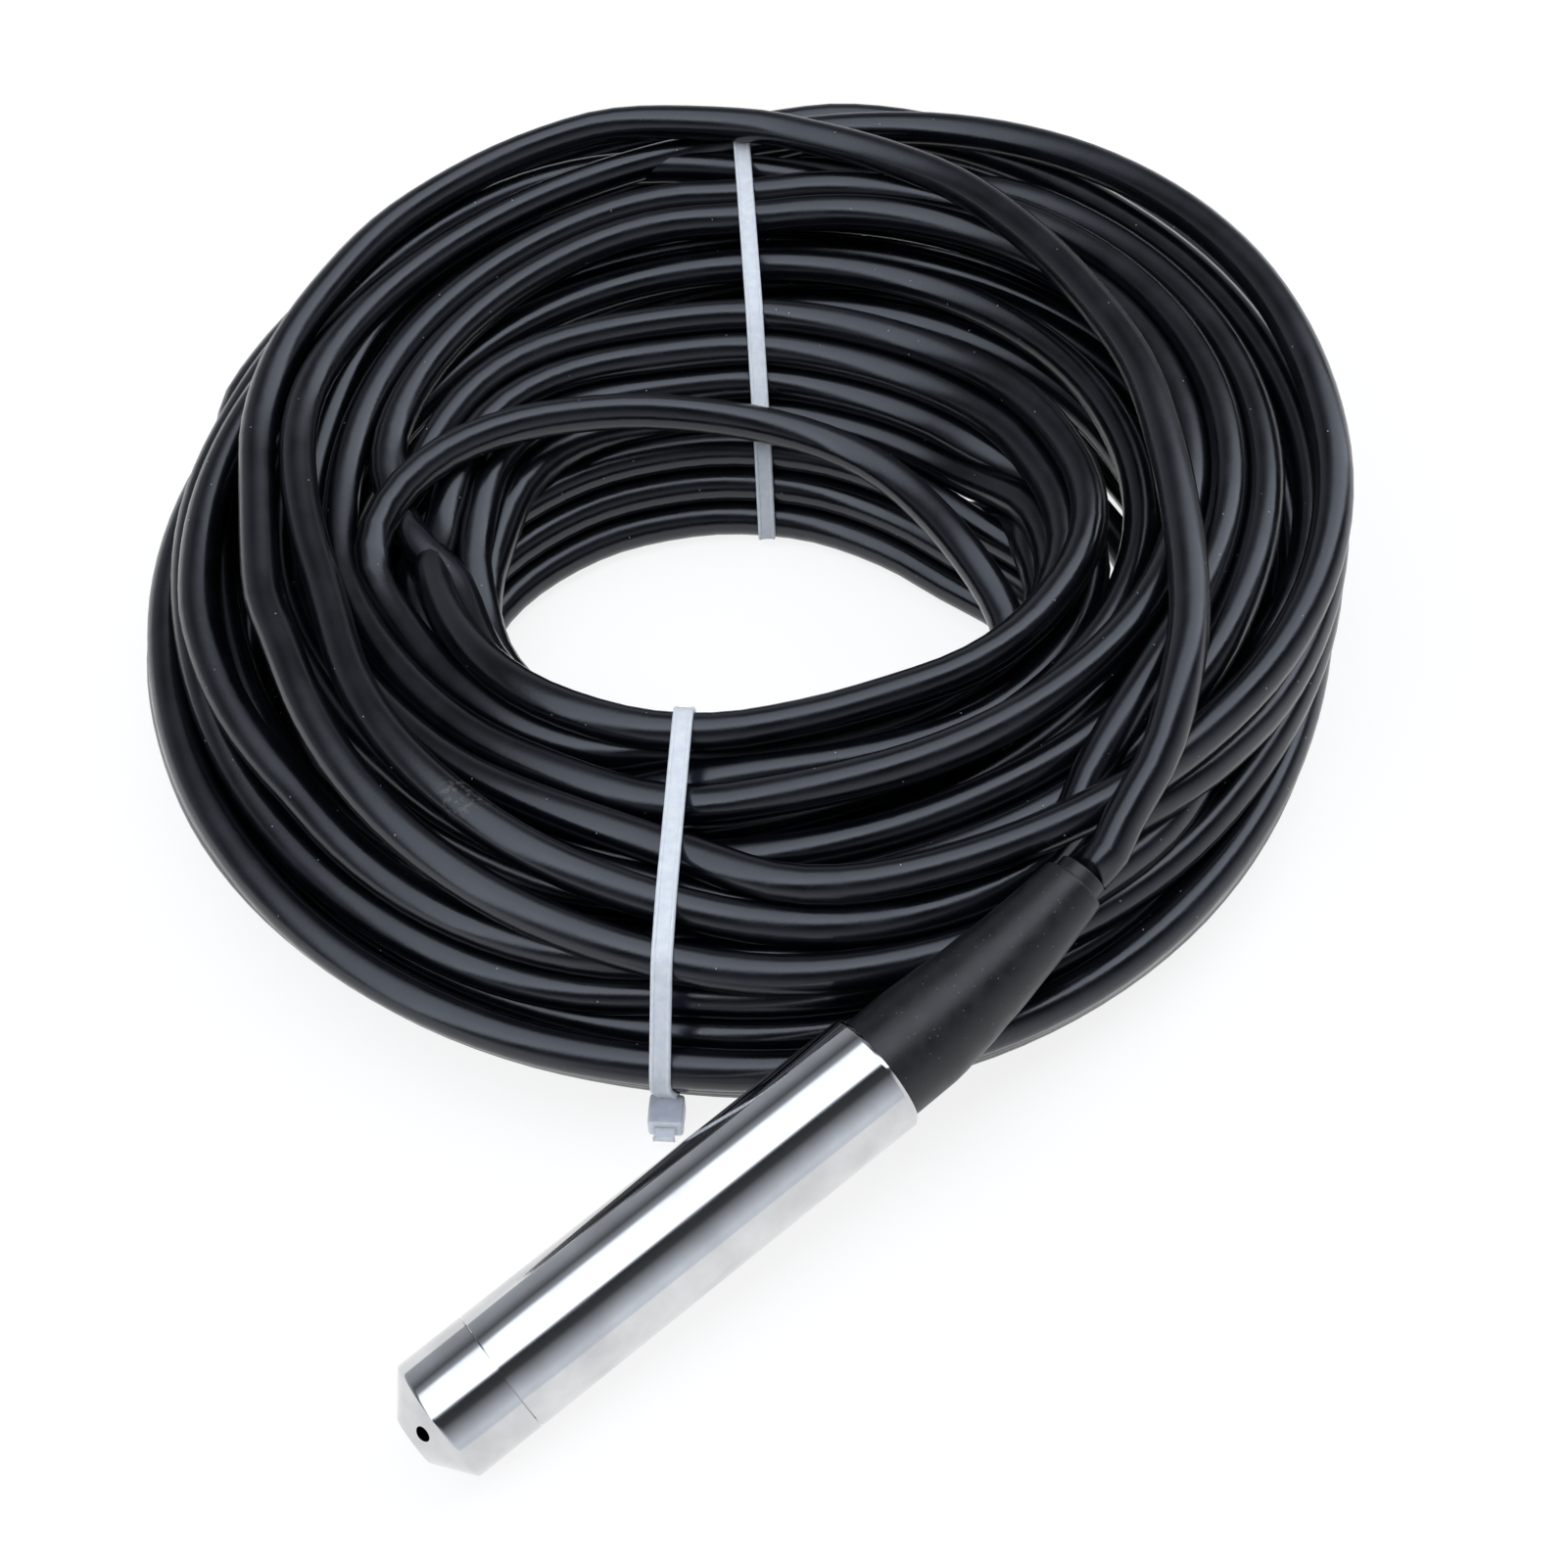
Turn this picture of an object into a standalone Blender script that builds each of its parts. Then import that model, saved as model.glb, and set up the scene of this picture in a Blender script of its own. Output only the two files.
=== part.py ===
"""Submersible liquid level sensor: a steel probe, its rubber boot and a tied coil of vented cable.

Metres, +Z up. The probe's nose rests on the ground and its rear leans up towards the coil. The probe
points along X in plan, nose at -X. The origin is on the ground below the middle of the probe's box.
"""

import math

import bmesh
import bpy
from mathutils import Matrix, Vector

MM = 0.001
GAP = 0.3 * MM

# Probe housing, measured along the probe from the nose shoulder
PROBE_RADIUS = 11.0 * MM
CONE_LENGTH = 5.0 * MM
NOSE_FLAT_RADIUS = 4.35 * MM
CAP_LENGTH = 12.5 * MM
HOUSING_END = 91.6 * MM
TUBE_WALL = 1.5 * MM
CHAMFER = 0.7 * MM
INLET_RADIUS = 1.4 * MM
INLET_TURN = math.radians(25)
PROBE_TILT = math.radians(11)

# Pressure cell
SPIGOT_LENGTH = 7.0 * MM
CELL_LENGTH = 11.0 * MM
DIAPHRAGM_THICKNESS = 0.25 * MM
RING_LENGTH = 4.0 * MM
O_RING_WIRE = 1.5 * MM

# Circuit board
BOARD_LENGTH = 32.0 * MM
BOARD_WIDTH = 14.5 * MM
BOARD_THICKNESS = 1.0 * MM
BOARD_START = 37.0 * MM
CARRIER_LENGTH = 2.0 * MM

# Cable gland at the rear
PLUG_START = 77.0 * MM
PLUG_LENGTH = 9.0 * MM
SEAL_LENGTH = 3.0 * MM
WASHER_LENGTH = 0.8 * MM
NUT_HEAD_LENGTH = 3.0 * MM
NUT_ACROSS_FLATS = 13.0 * MM

# Boot, measured from the end of the housing
BOOT_RADIUS = 9.7 * MM
BOOT_SPIGOT = 4.4 * MM
BOOT_STRAIGHT = 10.5 * MM
BOOT_LIP_AT = 47.0 * MM
BOOT_LIP_RADIUS = 5.9 * MM
BOOT_COLLAR = 2.5 * MM
BOOT_COLLAR_RADIUS = 4.7 * MM
BOOT_RISE = 3.6 * MM
BOOT_SWING = 3.4 * MM

# Cable
CABLE_RADIUS = 3.8 * MM
CORE_RADIUS = 0.8 * MM
VENT_RADIUS = 0.6 * MM
ROUTE_STEP = 16.0 * MM

# Coil, in its own frame: X and Y on the ground, the front tie towards -Y
COIL_ALONG = 65.7 * MM
COIL_CLEARANCE = 2.0 * MM
COIL_FOOT = 8.1 * MM
COIL_TURN = math.radians(-33.9)
HOLE_TOP = (18.0 * MM, 16.8 * MM, 56.0 * MM)
HOLE_BASE = (9.6 * MM, -14.7 * MM, 36.0 * MM)
OUTSIDE_TOP = (12.5 * MM, 36.0 * MM, 122.0 * MM)
OUTSIDE_BASE = (6.0 * MM, 10.7 * MM, 122.8 * MM)
COIL_HEIGHT = 44.0 * MM
COIL_RISE_RIGHT = 9.4 * MM
COIL_SQUARENESS = 3.4
COIL_STATIONS = 96
COIL_SECTION_POINTS = 20
BASE_CUT = 0.04

# Cable ties
TIE_WIDTH = 3.7 * MM
TIE_THICKNESS = 1.1 * MM
TIE_PINCH = 1.8 * MM
TIE_CLEARANCE = 0.6 * MM
TIE_HEAD = (6.2 * MM, 6.4 * MM, 4.8 * MM)
TIES = {"tie_front": (math.radians(269), -8.6 * MM), "tie_back": (math.radians(90.4), -14.1 * MM)}
PINCH_FULL = 5.0 * MM
PINCH_END = 15.0 * MM

# Lead, in the coil's frame: points in the air, then points in plan where it lies on top of the coil
LEAD_AIR = (
    (71.5, -76.0, 45.3),
    (78.5, -66.5, 50.2),
)
LEAD_ON_COIL = (
    (83.5, -54.5),
    (87.7, -37.9),
    (89.6, -18.6),
    (90.0, 5.0),
    (88.0, 28.5),
    (81.3, 51.3),
    (72.0, 73.0),
    (59.5, 92.7),
    (44.7, 106.3),
    (29.0, 116.6),
    (14.0, 124.0),
    (-12.6, 129.6),
    (-30.5, 125.8),
    (-48.2, 116.4),
    (-65.2, 102.0),
    (-77.3, 84.3),
    (-86.5, 64.0),
    (-90.0, 43.7),
    (-89.0, 24.0),
    (-85.3, -3.3),
    (-78.3, -19.5),
    (-64.9, -39.0),
)
LEAD_STRAIGHT = 5.0 * MM
LEAD_RIDE = 0.1 * MM

# Tail, in the coil's frame: angle in degrees and the gap to the coil's outside
TAIL_ROUTE = ((52, -2.6), (59, -2.4), (67, -0.2), (75, 5.0), (83, 10.0))
TAIL_CORE_LENGTH = 26.0 * MM

COLOURS = {
    "steel": ((0.62, 0.62, 0.63), 1.0, 0.12),
    "steel_plain": ((0.45, 0.45, 0.46), 1.0, 0.35),
    "rubber": ((0.02, 0.02, 0.022), 0.0, 0.62),
    "cable": ((0.008, 0.008, 0.011), 0.0, 0.3),
    "nylon": ((0.72, 0.76, 0.84), 0.0, 0.4),
    "seal": ((0.03, 0.03, 0.03), 0.0, 0.6),
    "board": ((0.02, 0.16, 0.06), 0.0, 0.45),
    "chip": ((0.02, 0.02, 0.02), 0.0, 0.5),
    "ribbon": ((0.55, 0.32, 0.1), 0.0, 0.5),
    "terminal": ((0.05, 0.25, 0.12), 0.0, 0.5),
    "red": ((0.5, 0.02, 0.02), 0.0, 0.45),
    "black": ((0.015, 0.015, 0.015), 0.0, 0.45),
    "clear": ((0.8, 0.8, 0.78), 0.0, 0.3),
    "brass": ((0.6, 0.42, 0.16), 1.0, 0.3),
    "blue": ((0.04, 0.12, 0.4), 0.0, 0.4),
}


def clear_scene():
    for old in list(bpy.data.objects):
        bpy.data.objects.remove(old, do_unlink=True)


def material_for(node, colour):
    base, metallic, roughness = COLOURS[colour]
    made = bpy.data.materials.new(node)
    made.use_nodes = True
    shader = made.node_tree.nodes["Principled BSDF"]
    shader.inputs["Base Color"].default_value = (*base, 1.0)
    shader.inputs["Metallic"].default_value = metallic
    shader.inputs["Roughness"].default_value = roughness
    return made


def add_object(name, mesh, colour, parent):
    made = bpy.data.objects.new(name, mesh)
    made.data.materials.append(material_for(name, colour))
    bpy.context.scene.collection.objects.link(made)
    made.parent = parent
    return made


def add_empty(name):
    made = bpy.data.objects.new(name, None)
    bpy.context.scene.collection.objects.link(made)
    return made


def finish(bm, name, smooth_angle=35):
    bmesh.ops.recalc_face_normals(bm, faces=bm.faces)
    mesh = bpy.data.meshes.new(name)
    bm.to_mesh(mesh)
    bm.free()
    mesh.shade_smooth()
    mesh.set_sharp_from_angle(angle=math.radians(smooth_angle))
    return mesh


# Straight axis of the probe, and the boot's axis, which bends up and towards the coil
def straight_axis(along):
    return Vector((along, 0, 0)), Vector((1, 0, 0))


def boot_axis(along):
    reach = max(0.0, along - HOUSING_END)
    span = BOOT_LIP_AT + BOOT_COLLAR
    place = Vector((along, BOOT_SWING * (reach / span) ** 2, BOOT_RISE * (reach / span) ** 2))
    slope = Vector((1, 2 * BOOT_SWING * reach / span**2, 2 * BOOT_RISE * reach / span**2))
    return place, slope.normalized()


# Closed outline of (along, radius) points turned about an axis: a radius is a length or a function of the
# angle, and a radius of 0 is a point on the axis
def turned_mesh(name, outline, segments=48, axis=straight_axis):
    bm = bmesh.new()
    rings = []
    for along, radius in outline:
        centre, forward = axis(along)
        side = Vector((0, 0, 1)).cross(forward).normalized()
        up = forward.cross(side)
        if radius == 0:
            rings.append([bm.verts.new(centre)])
            continue
        ring = []
        for angle in (2 * math.pi * step / segments for step in range(segments)):
            reach = radius(angle) if callable(radius) else radius
            ring.append(bm.verts.new(centre + reach * (side * math.cos(angle) + up * math.sin(angle))))
        rings.append(ring)
    for first, second in zip(rings, rings[1:] + rings[:1]):
        join_rings(bm, first, second)
    return finish(bm, name)


def join_rings(bm, first, second):
    if len(first) == 1 and len(second) == 1:
        return
    count = max(len(first), len(second))
    for step in range(count):
        after = (step + 1) % count
        if len(first) == 1:
            bm.faces.new((first[0], second[after], second[step]))
        elif len(second) == 1:
            bm.faces.new((first[step], first[after], second[0]))
        else:
            bm.faces.new((first[step], first[after], second[after], second[step]))


def add_turned(name, outline, colour, parent, segments=48, axis=straight_axis):
    return add_object(name, turned_mesh(name, outline, segments, axis), colour, parent)


def block_mesh(name, size, centre, bevel=0.0):
    bm = bmesh.new()
    bmesh.ops.create_cube(bm, size=1.0)
    bmesh.ops.scale(bm, vec=size, verts=bm.verts)
    bmesh.ops.translate(bm, vec=centre, verts=bm.verts)
    if bevel:
        bmesh.ops.bevel(bm, geom=bm.edges[:], offset=bevel, segments=1, affect="EDGES")
    return finish(bm, name)


def add_block(name, size, centre, colour, parent, bevel=0.0):
    return add_object(name, block_mesh(name, size, centre, bevel), colour, parent)


def use_boolean(target, other, operation):
    modifier = target.modifiers.new(other.name, "BOOLEAN")
    modifier.operation = operation
    modifier.object = other
    modifier.solver = "EXACT"


def add_helper(name, mesh, parent):
    made = bpy.data.objects.new(name, mesh)
    bpy.context.scene.collection.objects.link(made)
    made.parent = parent
    made.hide_render = True
    made.display_type = "WIRE"
    return made


def rod_mesh(name, radius, start, end, segments=20):
    direction = end - start
    turn = direction.to_track_quat("Z", "Y").to_matrix().to_4x4()
    bm = bmesh.new()
    bmesh.ops.create_cone(
        bm, cap_ends=True, segments=segments, radius1=radius, radius2=radius, depth=direction.length
    )
    bmesh.ops.transform(bm, matrix=Matrix.Translation((start + end) / 2) @ turn, verts=bm.verts)
    return finish(bm, name)


# Smooth curve through hand-chosen points, read at even steps
def smooth_route(points, step):
    knots = [2 * points[0] - points[1], *points, 2 * points[-1] - points[-2]]
    dense = []
    for a, b, c, d in zip(knots, knots[1:], knots[2:], knots[3:]):
        for part in range(24):
            t = part / 24
            bend = 2 * a - 5 * b + 4 * c - d
            twist = 3 * b - 3 * c + d - a
            dense.append(0.5 * (2 * b + (c - a) * t + bend * t**2 + twist * t**3))
    dense.append(points[-1])
    total = sum((q - p).length for p, q in zip(dense, dense[1:]))
    count = max(2, round(total / step))
    return read_evenly(dense, total / count, count)


def read_evenly(dense, spacing, count):
    kept = [dense[0]]
    travelled = 0.0
    for p, q in zip(dense, dense[1:]):
        length = (q - p).length
        while len(kept) < count and travelled + length >= spacing * len(kept):
            kept.append(p.lerp(q, (spacing * len(kept) - travelled) / length))
        travelled += length
    kept.append(dense[-1])
    return kept


def add_tube(name, points, radius, colour, parent, resolution=3):
    curve = bpy.data.curves.new(name, "CURVE")
    curve.dimensions = "3D"
    curve.bevel_depth = radius
    curve.bevel_resolution = resolution
    curve.use_fill_caps = True
    spline = curve.splines.new("POLY")
    spline.points.add(len(points) - 1)
    for slot, place in zip(spline.points, points):
        slot.co = (*place, 1.0)
    return add_object(name, curve, colour, parent)


def make_nose_cap(parent):
    bore = PROBE_RADIUS - TUBE_WALL
    spigot = bore - GAP
    chamber = spigot - 1.6 * MM
    floor = -CONE_LENGTH + 2.2 * MM
    outline = [
        (-CONE_LENGTH, 0),
        (-CONE_LENGTH, NOSE_FLAT_RADIUS),
        (0, PROBE_RADIUS),
        (CAP_LENGTH, PROBE_RADIUS),
        (CAP_LENGTH, spigot),
        (CAP_LENGTH + SPIGOT_LENGTH, spigot),
        (CAP_LENGTH + SPIGOT_LENGTH, chamber),
        (3.0 * MM, chamber),
        (floor, NOSE_FLAT_RADIUS),
        (floor, 0),
    ]
    cap = add_turned("nose_cap", outline, "steel", parent, segments=64)
    use_boolean(cap, inlet_cutter(parent), "DIFFERENCE")


# The inlet is drilled square to the cone, half way along it, on the side that faces up
def inlet_cutter(parent):
    flank = Vector((CONE_LENGTH, PROBE_RADIUS - NOSE_FLAT_RADIUS))
    out = Vector((-flank.y, flank.x)).normalized()
    middle = Vector((-CONE_LENGTH * 0.53, (PROBE_RADIUS + NOSE_FLAT_RADIUS) * 0.48))
    near = middle + out * 3 * MM
    far = middle - out * 4.2 * MM
    turn = Matrix.Rotation(INLET_TURN, 4, "X")
    start = turn @ Vector((near.x, 0, near.y))
    end = turn @ Vector((far.x, 0, far.y))
    return add_helper("inlet_cutter", rod_mesh("inlet_cutter", INLET_RADIUS, start, end), parent)


def make_housing(parent):
    bore = PROBE_RADIUS - TUBE_WALL
    rear_bore = BOOT_RADIUS + GAP + 0.1 * MM
    start = CAP_LENGTH + 0.8 * GAP
    outline = [
        (start, bore),
        (start, PROBE_RADIUS),
        (HOUSING_END - CHAMFER, PROBE_RADIUS),
        (HOUSING_END, PROBE_RADIUS - CHAMFER),
        (HOUSING_END, rear_bore),
        (HOUSING_END - BOOT_SPIGOT - 2 * GAP, rear_bore),
        (HOUSING_END - BOOT_SPIGOT - 2 * GAP, bore),
    ]
    add_turned("housing_tube", outline, "steel", parent, segments=64)


# Groove outline between two ends of a turned piece that seals in the bore
def grooved_outline(start, end, radius, groove_at, inside):
    depth = O_RING_WIRE + 2 * GAP - (PROBE_RADIUS - TUBE_WALL - radius)
    width = O_RING_WIRE + 2 * GAP
    return [
        (start, inside),
        (start, radius),
        (groove_at, radius),
        (groove_at, radius - depth),
        (groove_at + width, radius - depth),
        (groove_at + width, radius),
        (end, radius),
        (end, inside),
    ]


def add_o_ring(name, groove_at, parent):
    middle = groove_at + O_RING_WIRE / 2 + GAP
    major = PROBE_RADIUS - TUBE_WALL - GAP - O_RING_WIRE / 2
    angles = [2 * math.pi * step / 10 for step in range(10)]
    half = O_RING_WIRE / 2
    outline = [(middle + half * math.cos(a), major + half * math.sin(a)) for a in angles]
    add_turned(name, outline, "seal", parent, segments=36)


def make_cell(parent):
    start = CAP_LENGTH + SPIGOT_LENGTH + GAP
    radius = PROBE_RADIUS - TUBE_WALL - GAP
    recess = radius - 1.2 * MM
    depth = DIAPHRAGM_THICKNESS + 2 * GAP
    body = grooved_outline(start, start + CELL_LENGTH, radius, start + 4 * MM, recess)
    outline = [(start + depth, 0), (start + depth, recess), *body[:-1], (start + CELL_LENGTH, 0)]
    add_turned("sensor_cell", outline, "steel_plain", parent)
    front = start + GAP
    disc = [
        (front, 0),
        (front, recess - GAP),
        (front + DIAPHRAGM_THICKNESS, recess - GAP),
        (front + DIAPHRAGM_THICKNESS, 0),
    ]
    add_turned("cell_diaphragm", disc, "steel", parent)
    add_o_ring("cell_o_ring", start + 4 * MM, parent)
    ring_start = start + CELL_LENGTH + GAP
    ring = [
        (ring_start, radius - 3.2 * MM),
        (ring_start, radius),
        (ring_start + RING_LENGTH, radius),
        (ring_start + RING_LENGTH, radius - 3.2 * MM),
    ]
    holder = add_turned("cell_retaining_ring", ring, "steel_plain", parent)
    slot = block_mesh(
        "ring_key_slot", (2 * MM, 2.4 * radius, 2.2 * MM), (ring_start + RING_LENGTH, 0, 0)
    )
    use_boolean(holder, add_helper("ring_key_slot", slot, parent), "DIFFERENCE")
    ribbon_start = ring_start + 0.2 * MM
    ribbon_end = BOARD_START + 3 * MM
    size = (ribbon_end - ribbon_start, 6 * MM, 0.4 * MM)
    height = BOARD_THICKNESS / 2 + GAP + size[2] / 2
    add_block("cell_ribbon", size, ((ribbon_start + ribbon_end) / 2, 0, height), "ribbon", parent)


def make_board(parent):
    middle = BOARD_START + BOARD_LENGTH / 2
    size = (BOARD_LENGTH, BOARD_WIDTH, BOARD_THICKNESS)
    add_block("circuit_board", size, (middle, 0, 0), "board", parent)
    radius = PROBE_RADIUS - TUBE_WALL - GAP
    slot = (3 * CARRIER_LENGTH, BOARD_WIDTH + 2 * GAP, BOARD_THICKNESS + 2 * GAP)
    carrier_inner = 5.2 * MM
    places = {
        "carrier_front": BOARD_START + 0.16 * BOARD_LENGTH,
        "carrier_rear": BOARD_START + 0.78 * BOARD_LENGTH,
    }
    for name, start in places.items():
        ring = [
            (start, carrier_inner),
            (start, radius),
            (start + CARRIER_LENGTH, radius),
            (start + CARRIER_LENGTH, carrier_inner),
        ]
        carrier = add_turned(name, ring, "clear", parent, segments=36)
        centre = (start + CARRIER_LENGTH / 2, 0, 0)
        cut = block_mesh(name + "_slot", slot, centre)
        use_boolean(carrier, add_helper(name + "_slot", cut, parent), "DIFFERENCE")
    make_board_parts(parent, BOARD_THICKNESS / 2 + GAP)


# Parts on the board: name, place along and across it as shares of its length and width, size, colour
BOARD_PARTS = (
    ("amplifier_chip", 0.35, 0.0, (5.0, 6.2, 1.6), "chip"),
    ("converter_chip", 0.54, -0.21, (4.0, 5.0, 1.4), "chip"),
    ("filter_capacitor", 0.54, 0.24, (3.4, 3.0, 2.6), "brass"),
    ("zero_trimmer", 0.69, -0.22, (3.6, 3.6, 3.0), "blue"),
    ("span_trimmer", 0.69, 0.22, (3.6, 3.6, 3.0), "blue"),
)


def make_board_parts(parent, top):
    for name, along, side, size, colour in BOARD_PARTS:
        centre = (BOARD_START + along * BOARD_LENGTH, side * BOARD_WIDTH, top + size[2] * MM / 2)
        add_block(name, [v * MM for v in size], centre, colour, parent, bevel=0.15 * MM)
    start = BOARD_START + BOARD_LENGTH - 1.6 * MM
    size = (3.0 * MM, 7.6 * MM, 3.6 * MM)
    add_block("terminal_block", size, (start, 0, top + size[2] / 2), "terminal", parent)


def make_gland(parent):
    radius = PROBE_RADIUS - TUBE_WALL - GAP
    bore = CABLE_RADIUS + GAP
    pocket = bore + 2.4 * MM
    end = PLUG_START + PLUG_LENGTH
    seat = PLUG_START + 3 * MM
    body = grooved_outline(PLUG_START, end, radius, PLUG_START + 4 * MM, bore)
    outline = [*body[:-1], (end, pocket), (seat, pocket), (seat, bore)]
    add_turned("rear_plug", outline, "steel_plain", parent)
    add_o_ring("plug_o_ring", PLUG_START + 4 * MM, parent)
    seal_end = add_bush("cable_seal", seat + GAP, SEAL_LENGTH, pocket - GAP, bore, "seal", parent)
    washer_end = add_bush("seal_washer", seal_end + GAP, WASHER_LENGTH, pocket - GAP, bore, "brass", parent)
    make_clamp_nut(washer_end + GAP, end + GAP, pocket - GAP, bore, parent)


def add_bush(name, start, length, outside, bore, colour, parent):
    outline = [(start, bore), (start, outside), (start + length, outside), (start + length, bore)]
    add_turned(name, outline, colour, parent, segments=32)
    return start + length


def hexagon_reach(angle):
    return NUT_ACROSS_FLATS / 2 / math.cos(math.remainder(angle, math.pi / 3))


# Shank that fills the pocket, with a hexagon head
def make_clamp_nut(start, shoulder, shank, bore, parent):
    outline = [
        (start, bore),
        (start, shank),
        (shoulder, shank),
        (shoulder, hexagon_reach),
        (shoulder + NUT_HEAD_LENGTH, hexagon_reach),
        (shoulder + NUT_HEAD_LENGTH, bore),
    ]
    add_turned("clamp_nut", outline, "steel_plain", parent, segments=36)


def make_boot(parent):
    bore = CABLE_RADIUS + GAP
    start = HOUSING_END - BOOT_SPIGOT
    nut_end = PLUG_START + PLUG_LENGTH + GAP + NUT_HEAD_LENGTH + GAP
    nut_room = NUT_ACROSS_FLATS / math.sqrt(3) + GAP
    lip = HOUSING_END + BOOT_LIP_AT
    taper_start = HOUSING_END + BOOT_STRAIGHT
    taper = [taper_start + (lip - taper_start) * t / 6 for t in range(1, 6)]
    slope = (BOOT_RADIUS - BOOT_LIP_RADIUS) / (lip - taper_start)
    outline = [(start, nut_room)]
    outline += [(along, BOOT_RADIUS) for along in (start, HOUSING_END, taper_start)]
    outline += [(along, BOOT_RADIUS - slope * (along - taper_start)) for along in taper]
    outline += [
        (lip - 0.6 * MM, BOOT_LIP_RADIUS),
        (lip, BOOT_LIP_RADIUS - 0.6 * MM),
        (lip, BOOT_COLLAR_RADIUS),
        (lip + BOOT_COLLAR, BOOT_COLLAR_RADIUS - 0.1 * MM),
        (lip + BOOT_COLLAR, bore),
    ]
    inside = [lip - (lip - nut_end) * t / 6 for t in range(0, 6)]
    outline += [(along, bore) for along in inside]
    outline += [(nut_end, bore), (nut_end, nut_room)]
    add_turned("strain_relief_boot", outline, "rubber", parent, segments=48, axis=boot_axis)


# Cable end inside the housing and the boot, with its cores and vent tube stripped at the board
def make_inner_cable(parent):
    start = PLUG_START - 1.5 * MM
    end = HOUSING_END + BOOT_LIP_AT + BOOT_COLLAR
    points = [boot_axis(start + (end - start) * t / 14)[0] for t in range(15)]
    add_tube("cable_inner", points, CABLE_RADIUS, "cable", parent)
    block_end = BOARD_START + BOARD_LENGTH - 1.6 * MM + 1.5 * MM
    height = BOARD_THICKNESS / 2 + GAP + 1.8 * MM
    for name, side, colour in (("inner_core_red", 1, "red"), ("inner_core_black", -1, "black")):
        places = [
            Vector((block_end + GAP, side * 1.9 * MM, height)),
            Vector((start - GAP, side * 1.9 * MM, height * 0.8)),
        ]
        add_tube(name, places, CORE_RADIUS, colour, parent)
    vent_start = Vector((BOARD_START + BOARD_LENGTH - 9 * MM, 0, -3.0 * MM))
    vent_end = Vector((start - GAP, 0, -1.8 * MM))
    add_tube("vent_tube", [vent_start, vent_end], VENT_RADIUS, "clear", parent)


# Distance from the coil's centre to an offset circle in plan, in one direction
def circle_reach(circle, angle):
    x, y, radius = circle
    ahead = x * math.cos(angle) + y * math.sin(angle)
    return ahead + math.sqrt(ahead**2 - (x**2 + y**2 - radius**2))


def coil_top(angle):
    return COIL_HEIGHT + COIL_RISE_RIGHT * math.cos(angle)


# A tie lies in an upright plane, given by its direction in plan and its distance from the coil's centre
def tie_pinch(angle, reach):
    near = [tie for tie in TIES.values() if math.cos(angle - tie[0]) > 0]
    apart = min((abs(reach * math.sin(angle - turn) - aside) for turn, aside in near), default=PINCH_END)
    return TIE_PINCH * min(1.0, max(0.0, (PINCH_END - apart) / (PINCH_END - PINCH_FULL)))


# Point of the coil's section in one direction, as (distance from the centre, height); the base is flat
def coil_corner(angle, step, pinch):
    turn = 2 * math.pi * (step + 0.5) / COIL_SECTION_POINTS
    across = math.copysign(abs(math.cos(turn)) ** (2 / COIL_SQUARENESS), math.cos(turn))
    level = 0.5 + 0.5 * math.copysign(abs(math.sin(turn)) ** (2 / COIL_SQUARENESS), math.sin(turn))
    share = max(0.0, level - BASE_CUT) / (1 - BASE_CUT)
    inner = blend(circle_reach(HOLE_BASE, angle), circle_reach(HOLE_TOP, angle), share) + pinch
    outer = blend(circle_reach(OUTSIDE_BASE, angle), circle_reach(OUTSIDE_TOP, angle), share) - pinch
    return (inner + outer) / 2 + (outer - inner) / 2 * across, pinch + (coil_top(angle) - 2 * pinch) * share


def coil_section(angle):
    section = []
    for step in range(COIL_SECTION_POINTS):
        reach, z = coil_corner(angle, step, 0)
        section.append(coil_corner(angle, step, tie_pinch(angle, reach)))
    return section


def blend(first, second, share):
    return first + (second - first) * share


# The coil stands beside the probe: its top clears the boot, and its foot reaches a little under the probe
def coil_aside():
    needs = {OUTSIDE_TOP: BOOT_SWING + BOOT_COLLAR_RADIUS + COIL_CLEARANCE, OUTSIDE_BASE: -COIL_FOOT}
    turned = {circle: math.sin(COIL_TURN) * circle[0] + math.cos(COIL_TURN) * circle[1] for circle in needs}
    return max(circle[2] - turned[circle] + need for circle, need in needs.items())


def make_coil(parent):
    bm = bmesh.new()
    rings = []
    for station in range(COIL_STATIONS):
        angle = 2 * math.pi * station / COIL_STATIONS
        section = coil_section(angle)
        outward = Vector((math.cos(angle), math.sin(angle), 0))
        rings.append([bm.verts.new(outward * reach + Vector((0, 0, z))) for reach, z in section])
    for first, second in zip(rings, rings[1:] + rings[:1]):
        join_rings(bm, first, second)
    add_object("cable_coil", finish(bm, "cable_coil", 60), "cable", parent)


# Section grown outwards by a distance, corner by corner
def grown(points, distance):
    found = []
    for before, here, after in zip([points[-1], *points[:-1]], points, [*points[1:], points[0]]):
        run = Vector((after[0] - before[0], after[1] - before[1])).normalized()
        found.append((here[0] + run.y * distance, here[1] - run.x * distance))
    return found


# Where the plane of a tie cuts one line of the coil's skin, as (distance along the plane, height)
def tie_corner(turn, aside, step):
    angle = turn
    for _ in range(12):
        reach, z = coil_corner(angle, step, TIE_PINCH)
        angle = turn + math.asin(aside / reach)
    return math.sqrt(reach**2 - aside**2), z


# One edge of a strap, as points on its inside and outside
def strap_edge(turn, aside):
    section = [tie_corner(turn, aside, step) for step in range(COIL_SECTION_POINTS)]
    outward = Vector((math.cos(turn), math.sin(turn), 0))
    start = Vector((-math.sin(turn), math.cos(turn), 0)) * aside
    both = [grown(section, TIE_CLEARANCE), grown(section, TIE_CLEARANCE + TIE_THICKNESS)]
    return [[start + outward * reach + Vector((0, 0, z)) for reach, z in edge] for edge in both]


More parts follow.
